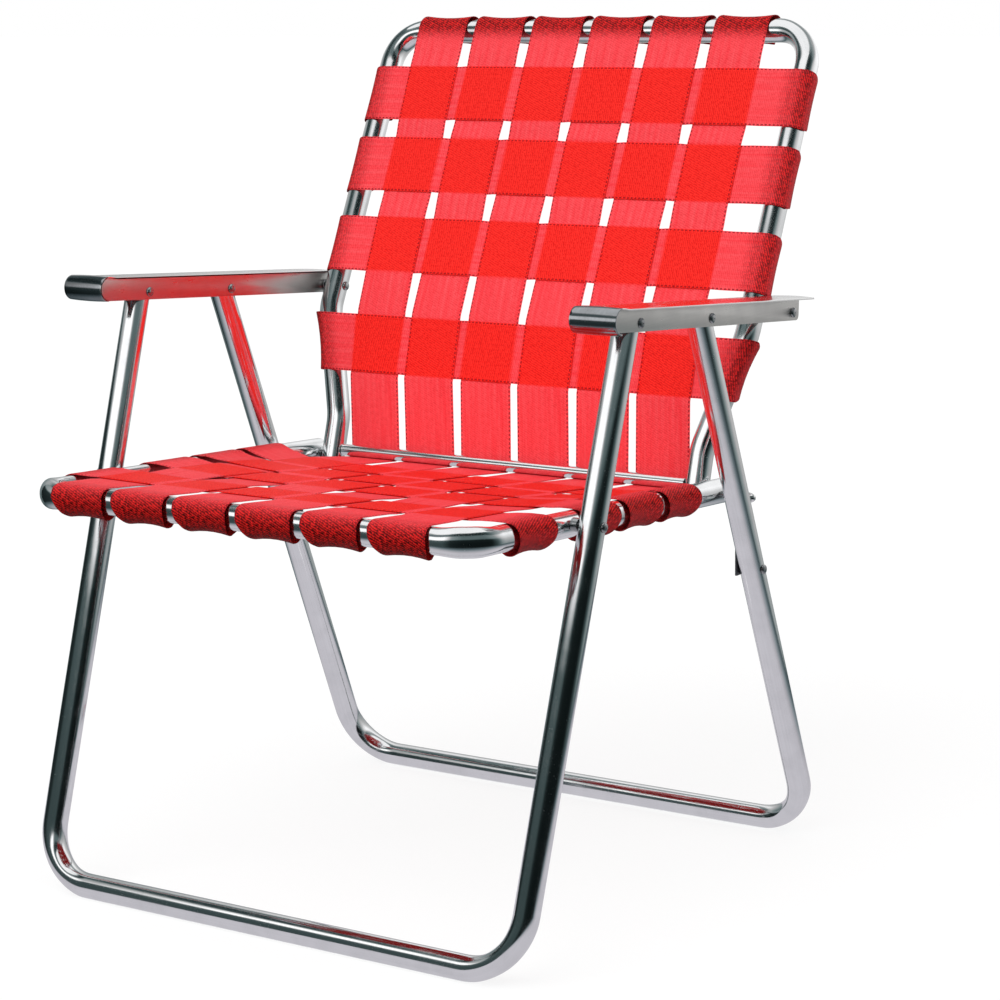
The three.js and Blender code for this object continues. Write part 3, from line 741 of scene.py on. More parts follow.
@dataclass
class BentTube:
    """A tube bent to a line of corners, flattened a little in its tight bends."""

    corners: list[Vec]
    bends: list[float]
    outside: float = 0.01262
    wall: float = 0.00125
    sides: int = 40
    bend_steps: int = 22
    bore: float = 0.03
    lip: float = 0.0004
    flatten: float = 0.13
    flatten_turn: float = math.pi / 4
    flatten_ease: float = 0.4
    sharp: float = 35.0

    def _centre_line(self) -> tuple[list[Vec], list[Vec], list[Vec]]:
        """Rounds the corners.

        Returns:
            The points of the centre line, its direction at each, and the axis that it bends about there, as
            long as the tube is flattened.
        """
        direction = unit(self.corners[1] - self.corners[0])
        points, tangents, flats = [self.corners[0]], [direction], [np.zeros(3)]
        for corner, following, radius in zip(self.corners[1:-1], self.corners[2:], self.bends):
            out = unit(following - corner)
            turn = math.acos(float(np.clip(np.dot(direction, out), -1, 1)))
            axis = unit(np.cross(direction, out))
            start = corner - direction * radius * math.tan(turn / 2)
            inward = np.cross(axis, direction)
            for share in np.linspace(0.0, 1.0, self.bend_steps + 1):
                points.append(start + inward * radius + turned(-inward * radius, axis, turn * share))
                tangents.append(turned(direction, axis, turn * share))
                eased = smooth_step(min(share, 1 - share) / self.flatten_ease)
                flats.append(axis * self.flatten * eased * (turn > self.flatten_turn))
            direction = out
        return points + [self.corners[-1]], tangents + [direction], flats + [np.zeros(3)]

    @staticmethod
    def _frames(tangents: list[Vec]) -> list[tuple[Vec, Vec]]:
        """Carries a section's two axes along the line without twist.

        Args:
            tangents: The line's direction at each point.

        Returns:
            The two axes at each point.
        """
        first = np.cross(tangents[0], ACROSS)
        if np.linalg.norm(first) < NEAR_PARALLEL:
            first = np.cross(tangents[0], UPRIGHT)
        normal = unit(first)
        frames = [(normal, np.cross(tangents[0], normal))]
        for before, after in zip(tangents, tangents[1:]):
            axis = np.cross(before, after)
            reach = np.linalg.norm(axis)
            if reach > TINY:
                normal = turned(normal, axis / reach, math.asin(min(reach, 1.0)))
            frames.append((normal, np.cross(after, normal)))
        return frames

    def build(self, name: str) -> Piece:
        """Makes the tube, with open ends that show its wall.

        Args:
            name: The piece's name.

        Returns:
            The tube as an object.
        """
        points, tangents, flats = self._centre_line()
        frames, runs = self._frames(tangents), run_lengths(points)
        bare, sides = self.outside - self.wall, self.sides
        rows = [(0, self.bore, bare), (0, self.lip, bare), (0, 0.0, bare + self.lip),
                (0, 0.0, self.outside - self.lip), (0, self.lip, self.outside)]
        closing = [(-1, -shift, radius) for _, shift, radius in reversed(rows)]
        rows += [(index, 0.0, self.outside) for index in range(1, len(points) - 1)] + closing
        rings, uvs = [], []
        for index, shift, radius in rows:
            normal, side = frames[index]
            share = float(np.linalg.norm(flats[index]))
            axis = flats[index] / max(share, TINY)
            for angle in np.arange(sides) * math.tau / sides:
                out = math.cos(angle) * normal + math.sin(angle) * side
                out = (1 - share) * out + 2 * share * (out @ axis) * axis
                rings.append(points[index] + tangents[index] * shift + radius * out)
                uvs.append((abs(angle - math.pi) * self.outside, runs[index] + shift))
        faces: Faces = []
        for start in range(0, (len(rows) - 1) * sides, sides):
            for here, there in zip(range(sides), [*range(1, sides), 0]):
                faces.append((start + here, start + there, start + there + sides, start + here + sides))
        faces += [tuple(reversed(range(sides))), tuple(range(len(rings) - sides, len(rings)))]
        tube = MeshMaker.make(name, np.array(rings), faces, np.array(uvs))
        MeshMaker.smooth(tube, self.sharp)
        return tube


@dataclass
class TubeFrames:
    """The four bent frames: front legs, rear legs, seat and back."""

    view: SideView
    arm_span: float = 0.2925
    front_foot_span: float = 0.283
    rear_foot_span: float = 0.295
    seat_span: float = 0.256
    back_span: float = 0.262
    hinge_span: float = 0.229
    floor_axis: float = 0.01262
    floor_bend: float = 0.058
    seat_bend: float = 0.036
    top_bend: float = 0.040
    taper_bend: float = 0.070
    taper_start: float = 0.045
    leg_stub: float = 0.006
    rail_stub: float = 0.011
    upright_stub: float = 0.011

    @staticmethod
    def _both_sides(corners: list[Vec], bends: list[float]) -> BentTube:
        """A tube that is the same on both sides, from the corners of its left half."""
        return BentTube([corner * MIRROR for corner in corners] + corners[::-1], bends + bends[::-1])

    def _leg_frame(self, pivot: Vec, down: Vec, foot_span: float) -> BentTube:
        """Two legs and a floor bar.

        Args:
            pivot: The legs' pivot in the armrests.
            down: The direction down the legs.
            foot_span: Half the distance between the legs' axes at the floor.

        Returns:
            The frame's tube.
        """
        foot = pivot + down * (pivot[1] - self.floor_axis) / -down[1]
        corner, top = at(foot_span, foot), at(self.arm_span, pivot)
        return self._both_sides([top + unit(top - corner) * self.leg_stub, corner], [self.floor_bend])

    def build(self, finishes: Finishes) -> None:
        """Makes the frames in place of their solids.

        Args:
            finishes: The chair's finishes.
        """
        view = self.view
        rail_end = view.rail_start - self.rail_stub * view.seat_forward
        rail = [at(self.seat_span, rail_end), at(self.seat_span, view.seat_front)]
        upright = [at(self.hinge_span, view.hinge - self.upright_stub * view.low_back_up),
                   at(self.hinge_span, view.hinge + self.taper_start * view.low_back_up),
                   at(self.back_span, view.back_bend), at(self.back_span, view.back_top)]
        frames = {
            "front_leg": (self._leg_frame(view.arm, view.front_down, self.front_foot_span), Body.FRONT_LEGS),
            "rear_leg": (self._leg_frame(view.rear_leg, view.rear_down, self.rear_foot_span), Body.REAR_LEGS),
            "seat": (self._both_sides(rail, [self.seat_bend]), Body.SEAT),
            "back": (self._both_sides(upright, [self.taper_bend, self.taper_bend, self.top_bend]), Body.BACK),
        }
        for word, (tube, body) in frames.items():
            fit(tube.build(f"{word}_tube"), [f"{word}_frame"], body, finishes.tube)


@dataclass
class Armrests:
    """Two channels, each under a strip that is rolled under at the nose."""

    view: SideView
    span: float = 0.2925
    width: float = 0.031
    overhang: float = 0.018
    depth: float = 0.024
    gauge: float = 0.0015
    top: float = 0.0161
    nose_reach: float = 0.076
    nose_ease: float = 0.014
    nose_gap: float = 0.0006
    pivot_span: float = 0.3005
    wall_tail: float = 0.012
    wall_round: float = 0.005
    wall_gap: float = 0.0008
    strip_tail: float = 0.018
    corner: float = 0.011
    roll: float = 0.0012
    crown: float = 0.0007
    columns: int = 17
    nose_steps: int = 36
    flat_steps: int = 8
    corner_steps: int = 10
    wall_nose_steps: int = 24
    wall_round_steps: int = 6
    edge_round: float = 0.00035
    sharp: float = 30.0

    def _place(self, hand: Hand, along: float, up: float, out: float) -> Vec:
        """A place on one armrest: along it, off its top and outwards from the leg."""
        point = self.view.arm + along * self.view.arm_back + up * self.view.arm_up
        return at(hand.value * (self.span + out), point)

    def _strip_line(self) -> list[Levels]:
        """The strip's outer line.

        Returns:
            Places from the nose back: along, up, and the two parts of the direction that the strip faces.
        """
        radius, middle = self.depth / 2 + self.roll, self.top - self.depth / 2
        centre = radius - self.nose_reach
        line = [(centre + radius * ahead, middle + radius * off, ahead, off)
                for ahead, off in arc((0.0, 0.0), 1.0, 270, 90, self.nose_steps)]
        line += [(centre + self.nose_ease * share, self.top + self.roll * (1 - smooth_step(share)), 0.0, 1.0)
                 for share in np.linspace(0, 1, self.flat_steps + 1)[1:]]
        start = self.pivot_span + self.strip_tail - self.corner
        flats = np.linspace(centre + self.nose_ease, start, self.flat_steps + 1)[1:]
        ends = start + self.corner * np.sin(np.linspace(0, math.pi / 2, self.corner_steps + 1)[1:])
        return line + [(run, self.top, 0.0, 1.0) for run in (*flats, *ends)]

    def _strip(self, hand: Hand) -> tuple[list[Vec], Faces]:
        """The strip as a closed shell.

        Args:
            hand: The side that it is on.

        Returns:
            Its points and faces.
        """
        inner, outer = -self.width / 2, self.width / 2 + self.overhang
        middle, half = (inner + outer) / 2, (outer - inner) / 2
        start = self.pivot_span + self.strip_tail - self.corner
        points: list[Vec] = []
        line = self._strip_line()
        for layer in (0.0, self.gauge):
            for run, up, ahead, off in line:
                past = max(run - start, 0.0)
                reach = half - self.corner + math.sqrt(max(self.corner ** 2 - past ** 2, TINY))
                for share in np.linspace(-1.0, 1.0, self.columns):
                    sunk = layer + self.crown * share * share
                    place = (run - ahead * sunk, up - off * sunk, middle + share * reach)
                    points.append(self._place(hand, *place))
        return points, shell_faces(len(line), self.columns)

    def _wall(self, hand: Hand, near: float, far: float, start: int) -> tuple[list[Vec], Faces]:
        """One wall of the channel.

        Args:
            hand: The side that it is on.
            near: Its one face, outwards from the leg.
            far: Its other face.
            start: The number of its first point.

        Returns:
            Its points and faces.
        """
        centre, middle = self.depth / 2 - self.nose_reach, self.top - self.depth / 2
        bottom, tail = self.top - self.depth, self.pivot_span + self.wall_tail
        foot = (tail - self.wall_round, bottom + self.wall_round)
        outline = [*arc((centre, middle), self.depth / 2 - self.nose_gap, 90, 270, self.wall_nose_steps),
                   (centre, bottom), *arc(foot, self.wall_round, -90, 0, self.wall_round_steps),
                   (tail, self.top - self.wall_gap)]
        points = [self._place(hand, run, up, out) for out in (near, far) for run, up in outline]
        return points, prism_faces(len(outline), start)

    def build(self, finishes: Finishes) -> None:
        """Makes both armrests in place of their solids.

        Args:
            finishes: The chair's finishes.
        """
        edge, nose_end = self.width / 2, self.depth / 2 - self.nose_reach
        for hand in Hand:
            points, faces = self._strip(hand)
            strip_count = len(faces)
            for near, far in ((edge - self.gauge, edge), (-edge, self.gauge - edge)):
                more, sides = self._wall(hand, near, far, len(points))
                points += more
                faces += sides
            piece = MeshMaker.make(f"armrest_sheet_{hand.word}", np.array(points), faces)
            for part in SheetPart:
                piece.data.materials.append(getattr(finishes, part.name.lower()))
            # The nose's faces get the darker copy of the strip's metal, a painted reflection.
            for face in piece.data.polygons[:strip_count]:
                run = (np.array(face.center)[1:] - self.view.arm) @ self.view.arm_back
                face.material_index = SheetPart.NOSE if run < nose_end else SheetPart.STRIP
            MeshMaker.smooth(piece, self.sharp, self.edge_round)
            fit(piece, [f"armrest_{hand.word}"], Body.ARMRESTS)


class TurnedTree:
    """A Geometry Nodes tree that sets turned parts on points, each along its point's direction."""

    MERGE = 1e-6
    SHARP = 40.0

    def __init__(self, name: str, profile: Profile, sides: int) -> None:
        """Builds the tree.

        Args:
            name: The tree's name.
            profile: Shares of the radius and of the length, from the base to the end.
            sides: Sides of the part's section.
        """
        self.tree = bpy.data.node_groups.new(name, "GeometryNodeTree")
        self.identifiers: dict[str, str] = {}
        for label, kind in (("Points", "Geometry"), ("Radius", "Float"), ("Length", "Float"),
                            ("Finish", "Material")):
            item = self.tree.interface.new_socket(name=label, in_out="INPUT", socket_type=f"NodeSocket{kind}")
            self.identifiers[label] = item.identifier
        self.tree.interface.new_socket(name="Parts", in_out="OUTPUT", socket_type="NodeSocketGeometry")
        bench = Bench(self.tree)
        given = bench.add("NodeGroupInput").outputs
        part = self._part(bench, given, profile, sides)
        facing = bench.add("GeometryNodeInputNamedAttribute", {"Name": "facing"}, data_type="FLOAT_VECTOR")
        turn = bench.add("FunctionNodeAlignRotationToVector", {
            "Vector": facing.outputs["Attribute"]}, axis="Z")
        parts = bench.add("GeometryNodeInstanceOnPoints", {
            "Points": given["Points"], "Instance": part, "Rotation": turn.outputs[0]})
        real = bench.add("GeometryNodeRealizeInstances", {0: parts.outputs[0]})
        dressed = bench.add("GeometryNodeSetMaterial", {
            "Geometry": real.outputs[0], "Material": given["Finish"]})
        bench.add("NodeGroupOutput", {"Parts": dressed.outputs[0]})

    @classmethod
    def _part(cls, bench: Bench, given: Any, profile: Profile, sides: int) -> Socket:
        """Raises one part from a disc, ring by ring.

        Args:
            bench: The tree's bench.
            given: What the tree is given.
            profile: Shares of the radius and of the length.
            sides: Sides of the part's section.

        Returns:
            The part's geometry.
        """
        radius = bench.math("MULTIPLY", given["Radius"], profile[0][0])
        disc = bench.add("GeometryNodeMeshCircle", {"Vertices": sides, "Radius": radius}, fill_type="NGON")
        base = bench.add("GeometryNodeFlipFaces", {"Mesh": disc.outputs[0]})
        raised, top = disc.outputs[0], True
        for (wide, low), (next_wide, high) in zip(profile, profile[1:]):
            rise = bench.math("MULTIPLY", given["Length"], high - low)
            step = bench.add("GeometryNodeExtrudeMesh", {
                "Mesh": raised, "Selection": top, "Offset Scale": rise, "Individual": False}, mode="FACES")
            scaled = bench.add("GeometryNodeScaleElements", {
                "Geometry": step.outputs["Mesh"], "Selection": step.outputs["Top"],
                "Scale": next_wide / wide}, domain="FACE", scale_mode="UNIFORM")
            raised, top = scaled.outputs[0], step.outputs["Top"]
        whole = bench.add("GeometryNodeJoinGeometry")
        for geometry in (raised, base.outputs[0]):
            bench.tree.links.new(geometry, whole.inputs[0])
        values = {"Geometry": whole.outputs[0], "Distance": cls.MERGE}
        return bench.add("GeometryNodeMergeByDistance", values).outputs[0]

    def run(self, name: str, places: list[Vec], facings: list[Vec], radius: float, length: float,
            finish: Material) -> Piece:
        """Sets parts on points and makes them one plain mesh.

        Args:
            name: The piece's name.
            places: Where each part starts.
            facings: The direction of each part.
            radius: The parts' full radius.
            length: The parts' full length.
            finish: Their material.

        Returns:
            One object with all the parts.
        """
        host = MeshMaker.make(name, np.array(places), [])
        facing = host.data.attributes.new("facing", "FLOAT_VECTOR", "POINT")
        facing.data.foreach_set("vector", np.array(facings).ravel())
        modifier = host.modifiers.new("turned_parts", "NODES")
        modifier.node_group = self.tree
        for label, value in (("Radius", radius), ("Length", length), ("Finish", finish)):
            modifier[self.identifiers[label]] = value
        MeshMaker.settle(host)
        MeshMaker.shade(host, self.SHARP)
        return host


def dome(width: float, low: float, high: float, steps: int = 6) -> list[Span]:
    """Profile of a dome from its rim to near its top.

    Args:
        width: Its radius, as a share of the part's.
        low: Where its rim is, as a share of the part's length.
        high: Where its top is.
        steps: Rings on it.

    Returns:
        The profile's points.
    """
    angles = [math.pi / 2 * step / (steps + 0.5) for step in range(1, steps + 1)]
    return [(width * math.cos(angle), low + (high - low) * math.sin(angle)) for angle in angles]


@dataclass
class Hardware:
    """Rivets, sleeves, cap nuts, hinge pins and the stretcher tube on its rod."""

    view: SideView
    frames: TubeFrames
    tube: float = 0.0127
    gap: float = 0.0003
    arm_width: float = 0.031
    pin: float = 0.003
    head: float = 0.005
    head_height: float = 0.0026
    head_angles: Levels = (68, 54, 40, 26, 12, 0)
    head_middle: float = 0.25
    dimple_widths: Levels = (0.22, 0.17, 0.05)
    dimple_rim: float = 0.995
    dimple_depths: Span = (0.55, 0.7)
    sleeve: float = 0.0065
    sleeve_edge: float = 0.0004
    sleeve_rim: float = 0.94
    sleeve_bore_end: float = 0.05
    stretcher: float = 0.00635
    stretcher_wall: float = 0.001
    stretcher_sides: int = 32
    nut: float = 0.0065
    nut_base: float = 0.0065
    nut_dome: float = 0.0095
    nut_rim: float = 0.9
    nut_ease: float = 0.06
    nut_shoulder: float = 0.86
    nut_rings: int = 7
    link_gauge: float = 0.0025
    bar: Stops = ((0.85, 0.0), (1.0, 0.004), (1.0, 0.996), (0.85, 1.0))
    bar_sides: int = 20
    nut_sides: int = 24
    rivet_sides: int = 24
    sleeve_sides: int = 32

    def _leg_span(self, pivot: Vec, foot_span: float, point: Vec) -> float:
        """How far a leg is from the middle at a side view point, as it leans from the floor bar's top."""
        bar_top = 2 * self.frames.floor_axis
        return foot_span + (self.frames.arm_span - foot_span) * (point[1] - bar_top) / (pivot[1] - bar_top)

    @property
    def link_face(self) -> float:
        """The outer face of the left link."""
        span = self._leg_span(self.view.rear_leg, self.frames.rear_foot_span, self.view.link)
        return span - self.tube - self.gap

    def _rivet(self, length: float) -> Profile:
        """A head, a shank and a second head with a dimple.

        Args:
            length: The rivet's length over its heads.

        Returns:
            Its profile, as shares.
        """
        tall, shank = self.head_height / length, self.pin / self.head
        angles = np.radians(self.head_angles)
        first = [(self.head_middle, 0.0)]
        first += [(math.cos(angle), tall * (1 - math.sin(angle))) for angle in angles]
        last = [(1.0, 1 - tall)] + dome(1.0, 1 - tall, 1.0)
        levels = [self.dimple_rim, *(1 - depth * tall for depth in self.dimple_depths)]
        return first + [(shank, tall), (shank, 1 - tall)] + last + list(zip(self.dimple_widths, levels))

    def _sleeve(self, length: float) -> Profile:
        """A short sleeve round a pin, with eased edges.

        Args:
            length: The sleeve's length.

        Returns:
            Its profile, as shares.
        """
        edge, bore = self.sleeve_edge / length, (self.pin + self.gap) / self.sleeve
        return [(self.sleeve_rim, 0.0), (1.0, edge), (1.0, 1 - edge), (self.sleeve_rim, 1.0), (bore, 1.0),
                (bore, self.sleeve_bore_end)]

    @staticmethod
    def _pair(name: str, ends: Span, point: Vec, body: Body, shape: tuple[Profile, int, float],
              finish: Material) -> None:
        """Makes a turned part on each side, in place of its two solids.

        Args:
            name: What the solids' names start with.
            ends: The part's two ends, outwards from the middle.
            point: Its axis in the side view.
            body: The body that it rides on.
            shape: Its profile, sides and full radius.
            finish: Its material.
        """
        profile, sides, radius = shape
        tree = TurnedTree(f"{name}_tree", profile, sides)
        places = [at(hand.value * ends[0], point) for hand in Hand]
        facings = [hand.value * ACROSS for hand in Hand]
        piece = tree.run(f"{name}s", places, facings, radius, ends[1] - ends[0], finish)
        fit(piece, [f"{name}_{hand.word}" for hand in Hand], body)

    def _stretcher(self, finishes: Finishes) -> None:
        """The stretcher tube on its rod, which the long straps go round.

        Args:
            finishes: The chair's finishes.
        """
        end, axis = self.frames.hinge_span, self.view.stretcher
        tree = TurnedTree("stretcher_rod_tree", self.bar, self.bar_sides)
        rod = tree.run("stretcher_bar", [at(-end, axis)], [ACROSS], self.pin, 2 * end, finishes.plated)
        fit(rod, ["stretcher_rod"], Body.BACK)
        reach = end - self.tube - self.gap
        tube = BentTube([at(-reach, axis), at(reach, axis)], [], outside=self.stretcher,
                        wall=self.stretcher_wall, sides=self.stretcher_sides)
        fit(tube.build("stretcher_sleeve"), ["stretcher_tube"], Body.BACK, finishes.tube)

    def build(self, finishes: Finishes) -> None:
        """Makes all the hardware in place of its solids.

        Args:
            finishes: The chair's finishes.
        """
        view, frames, tube, gap = self.view, self.frames, self.tube, self.gap
        arm_near, arm_far = frames.arm_span - self.arm_width / 2, frames.arm_span + self.arm_width / 2
        leg = self._leg_span(view.arm, frames.front_foot_span, view.seat)
        rear = self._leg_span(view.rear_leg, frames.rear_foot_span, view.link)
        link_back = self.link_face - self.link_gauge
        rail_near, rail_far = frames.seat_span - tube, frames.seat_span + tube
        rivets = (("front_leg_rivet", arm_near, arm_far, view.arm, Body.ARMRESTS),
                  ("rear_leg_rivet", arm_near, arm_far, view.rear_leg, Body.ARMRESTS),
                  ("back_rivet", frames.back_span - tube, arm_far, view.back, Body.ARMRESTS),
                  ("seat_rivet", rail_near, leg + tube, view.seat, Body.FRONT_LEGS),
                  ("link_rivet", link_back, rear + tube, view.link, Body.REAR_LEGS))
        for name, near, far, point, body in rivets:
            ends = (near - gap - self.head_height, far + gap + self.head_height)
            shape = (self._rivet(ends[1] - ends[0]), self.rivet_sides, self.head)
            self._pair(name, ends, point, body, shape, finishes.plated)
        sleeves = (("back_washer", frames.back_span + tube, arm_near, view.back, Body.ARMRESTS),
                   ("seat_spacer", rail_far, leg - tube, view.seat, Body.FRONT_LEGS),
                   ("hinge_washer", frames.hinge_span + tube, rail_near, view.hinge, Body.BACK),
                   ("link_spacer", rail_far, link_back, view.hinge, Body.SEAT))
        for name, near, far, point, body in sleeves:
            ends = (near + gap, far - gap)
            shape = (self._sleeve(ends[1] - ends[0]), self.sleeve_sides, self.sleeve)
            self._pair(name, ends, point, body, shape, finishes.plated)
        start, length = self.link_face + gap, self.nut_base + self.nut_dome
        share = self.nut_base / length
        cap = [(self.nut_rim, 0.0), (1.0, self.nut_ease), (1.0, share - self.nut_ease), (self.nut_rim, share)]
        cap += dome(self.nut_shoulder, share, 1.0, self.nut_rings)
        self._pair("cap_nut", (start, start + length), view.hinge, Body.LINKS,
                   (cap, self.nut_sides, self.nut), finishes.strip)
        self._pair("hinge_pin", (frames.hinge_span - tube + gap, link_back - gap), view.hinge, Body.BACK,
                   (self.bar, self.bar_sides, self.pin), finishes.plated)
        self._stretcher(finishes)


@dataclass
class HingeLinks:
    """The flat links from the rear legs up to the hinge."""

    view: SideView
    face: float
    width: float = 0.016
    gauge: float = 0.0025
    end: float = 0.008
    end_steps: int = 20
    edge_round: float = 0.0005
    sharp: float = 30.0

    def build(self, finishes: Finishes) -> None:
        """Makes both links in place of their solids.

        Args:
            finishes: The chair's finishes.
        """
        reach, half = self.view.hinge - self.view.link, self.width / 2
        up, front = unit(reach), quarter(unit(reach))
        outline = [(-self.end, half), (-self.end, -half)]
        outline += [*arc((float(np.linalg.norm(reach)), 0.0), half, -90, 90, self.end_steps)]
        for hand in Hand:
            points = [at(hand.value * x, self.view.link + run * up + off * front)
                      for x in (self.face - self.gauge, self.face) for run, off in outline]
            piece = MeshMaker.make(f"link_bar_{hand.word}", np.array(points), prism_faces(len(outline)))
            MeshMaker.smooth(piece, self.sharp, self.edge_round)
            fit(piece, [f"hinge_link_{hand.word}"], Body.LINKS, finishes.dark)


@dataclass(frozen=True)
class Crossing:
    """A stretch of a strap that passes over or under another one."""

    middle: float
    half: float
    over: bool


@dataclass
class Ribbon:
    """A flat strap that follows a line of points.

    Attributes:
        centres: The line it follows.
        across: Its width's direction at each point.
        faces_to: The direction its upper face looks in at each point.
        half_widths: Half its width at each point.
        doubled: How far another layer lies on it at each point, from 0 to 1.
        tube_shade: How much painted shade it gets at each point where it lies on a tube, from 0 to 1.
        curl: How far its edges stand off its middle at each point.
    """

    centres: Vec
    across: Vec
    faces_to: Vec
    half_widths: Vec
    doubled: Vec
    tube_shade: Vec
    curl: Vec
    thickness: float = 0.0011
    columns: Levels = (-1.0, -0.965, -0.9, -0.6, -0.2, 0.2, 0.6, 0.9, 0.965, 1.0)
    slim: Levels = (0.35, 0.95, 1.0, 1.0, 1.0, 1.0, 1.0, 1.0, 0.95, 0.35)
    sharp: float = 50.0

    def build(self, name: str) -> Piece:
        """Makes the strap as a closed shell with a UV map in metres.

        Args:
            name: The piece's name.

        Returns:
            The strap as an object.
        """
        shares, count = np.array(self.columns), len(self.columns)
        wide = self.half_widths[:, None] * shares
        middle = self.centres[:, None] + self.across[:, None] * wide[..., None]
        curled = self.curl[:, None] * shares * shares
        off = self.thickness * np.array(self.slim)
        layers = [middle + self.faces_to[:, None] * (sign * off + curled)[..., None] for sign in (0.5, -0.5)]
        runs = np.repeat(run_lengths(self.centres), count)
        uv = np.tile(np.column_stack([wide.ravel(), runs]), (2, 1))
        faces = shell_faces(len(self.centres), count)
        strap = MeshMaker.make(name, np.concatenate(layers).reshape(-1, 3), faces, uv)
        # The painted tube shade goes to the mesh with the second layer's share, for the strap's material.
        for label, values in (("doubled", self.doubled), ("tube_shade", self.tube_shade)):
            layer = strap.data.attributes.new(label, "FLOAT", "POINT")
            layer.data.foreach_set("value", np.tile(np.repeat(values, count), 2))
        MeshMaker.smooth(strap, self.sharp)
        return strap


@dataclass(frozen=True)
class CrossRow:
    """The place of a cross strap on the seat or the back.

    Attributes:
        number: Its number, from the front or from the top.
        body: The body it rides on.
        place: Where its middle is, in the side view.
        face: Off the frame's face.
        span: Half the distance between the tubes' axes.
        over: Whether it passes over the first long strap.
        flare: Slope of the tubes' axes along the strap's width.
        run: Its place along the seat, for a seat strap.
    """

    number: int
    body: Body
    place: Vec
    face: Vec
    span: float
    over: bool
    flare: float = 0.0
    run: float | None = None


@dataclass
class Webbing:
    """Six long straps and eight cross straps, woven over and under each other."""

    view: SideView
    frames: TubeFrames
    width: float = 0.0635
    front_pitch: float = 0.075
    front_offset: float = -0.0045
    rod_pitch: float = 0.0723
    rod_offset: float = 0.0033
    top_pitch: float = 0.0755
    top_offset: float = -0.0055
    count: int = 6
    height: float = 0.01365
    rod_wrap: float = 0.0073
    rod_steps: int = 14
    wave: float = 0.0008
    wave_ease: float = 0.016
    cover_ease: float = 0.002
    seat_turn: float = 232.0
    back_turn: float = 205.0
    wrap_steps: int = 48
    tail_lift: float = 0.0035
    lift_start: float = 0.5
    tail_slant: float = 0.005
    tail_pull: float = 0.34
    pull_start: float = 0.30
    slant_ease: float = 0.6
    curl_ease: float = 0.3
    frays: tuple[Span, Span] = ((0.012, 23.0), (0.010, 41.0))
    fray_seeds: tuple[Span, Span] = ((1.7, 0.0), (2.9, 1.0))
    # Painted shade of the strap ends on their tubes: shares along the wrap, then how much shade each kind of
    # end gets there, lighter or darker round the wrap as light falls on it.
    level_marks: Levels = (0.0, 0.1, 0.26, 0.42, 1.0)
    front_levels: Levels = (0.28, 0.56, 0.92, 1.0, 0.95)
    top_shade_levels: Levels = (0.88, 0.92, 0.9, 0.9, 0.9)
    seat_hook_levels: Levels = (0.45, 0.75, 0.95, 0.7, 0.85)
    back_hook_levels: Levels = (0.52, 0.80, 0.86, 0.45, 0.85)
    run_in: int = 8
    edge_curl: float = 0.0022
    close_curl: float = 0.0006
    seat_sag: float = 0.0172
    sag_ends: Span = (0.13, 0.20)
    sag_spans: Span = (0.250, 0.243)
    sag_powers: Span = (8.0, 4.0)
    sag_probes: Span = (0.002, 0.01)
    tilt_run: float = 0.06
    lean_start: float = 0.8
    lean_ease: float = 0.15
    leads: tuple[float, float, float] = (0.004, 0.006, 0.008)
    back_rises: Levels = (0.2255, 0.1405, 0.0465)
    low_back_rise: float = 0.1255
    seat_runs: Levels = (0.096, 0.171, 0.250, 0.362)
    step: float = 0.0025
    blend_reach: float = 0.05
    screw_step: int = 8
    screw_turn: float = 12.0
    screw_gap: float = 0.0004
    screw_radius: float = 0.0052
    screw_length: float = 0.0034
    screw_sides: int = 18
    screw_profile: Stops = ((0.98, 0.0), (1.0, 0.12), (0.97, 0.25), (0.62, 0.32), (0.62, 0.8), (0.5, 1.0),
                            (0.3, 1.0), (0.24, 0.7))
    screws: dict[Body, list[tuple[Vec, Vec]]] = field(default_factory=dict)

    @property
    def back_reach(self) -> float:
        """From the stretcher to the back's top bar."""
        return float(np.linalg.norm(self.view.back_top - self.view.stretcher))

    def _line(self, start: float, end: float, crossings: Sequence[Crossing]) -> Vec:
        """A woven run.

        Args:
            start: Where it starts along the strap.
            end: Where it ends.
            crossings: The strap's crossings, in order along it.

        Returns:
            Local points: along, and off the frame's plane.
        """
        runs = np.linspace(start, end, max(int(abs(end - start) / self.step), 2) + 1)
        marks = [(crossings[0].middle - crossings[0].half - self.wave_ease, 0.0)]
        for crossing in crossings:
            level = self.wave if crossing.over else -self.wave
            marks += [(crossing.middle + side * crossing.half, level) for side in (-1, 1)]
        marks.append((crossings[-1].middle + crossings[-1].half + self.wave_ease, 0.0))
        places, levels = np.array(marks).T
        index = np.clip(np.searchsorted(places[1:], runs), 0, len(marks) - 2)
        shares = (runs - places[index]) / np.maximum(np.diff(places)[index], TINY)
        rise = levels[index] + np.diff(levels)[index] * smooth_step(shares)
        return np.column_stack([runs, self.height + rise])

    def _wrap(self, turn: float) -> Vec:
        """A strap's end turned round a tube, its tail standing off a little.

        Args:
            turn: How far it is turned, in degrees.

        Returns:
            Local points: along, and off the frame's plane.
        """
        shares = np.linspace(0.0, 1.0, self.wrap_steps + 1)[1:]
        angles = np.radians(90 - turn * shares)
        lifted = smooth_step((shares - self.lift_start) / (1 - self.lift_start))
        reach = self.height + self.tail_lift * lifted
        return reach[:, None] * np.stack([np.cos(angles), np.sin(angles)], axis=1)

    def _round_rod(self, rod: Span, ahead: Vec, meet: float) -> Vec:
        """The arc round the rod from the meeting angle to where the strap leaves on a tangent.

        Args:
            rod: The rod's axis.
            ahead: The point that the strap leaves for.
            meet: The angle at which the strap's halves meet, in degrees.

        Returns:
            Local points: along, and off the frame's plane.
        """
        reach = ahead - np.array(rod)
        leave = math.atan2(reach[1], reach[0]) - math.acos(self.rod_wrap / float(np.linalg.norm(reach)))
        return arc(rod, self.rod_wrap, meet, math.degrees(leave), self.rod_steps)

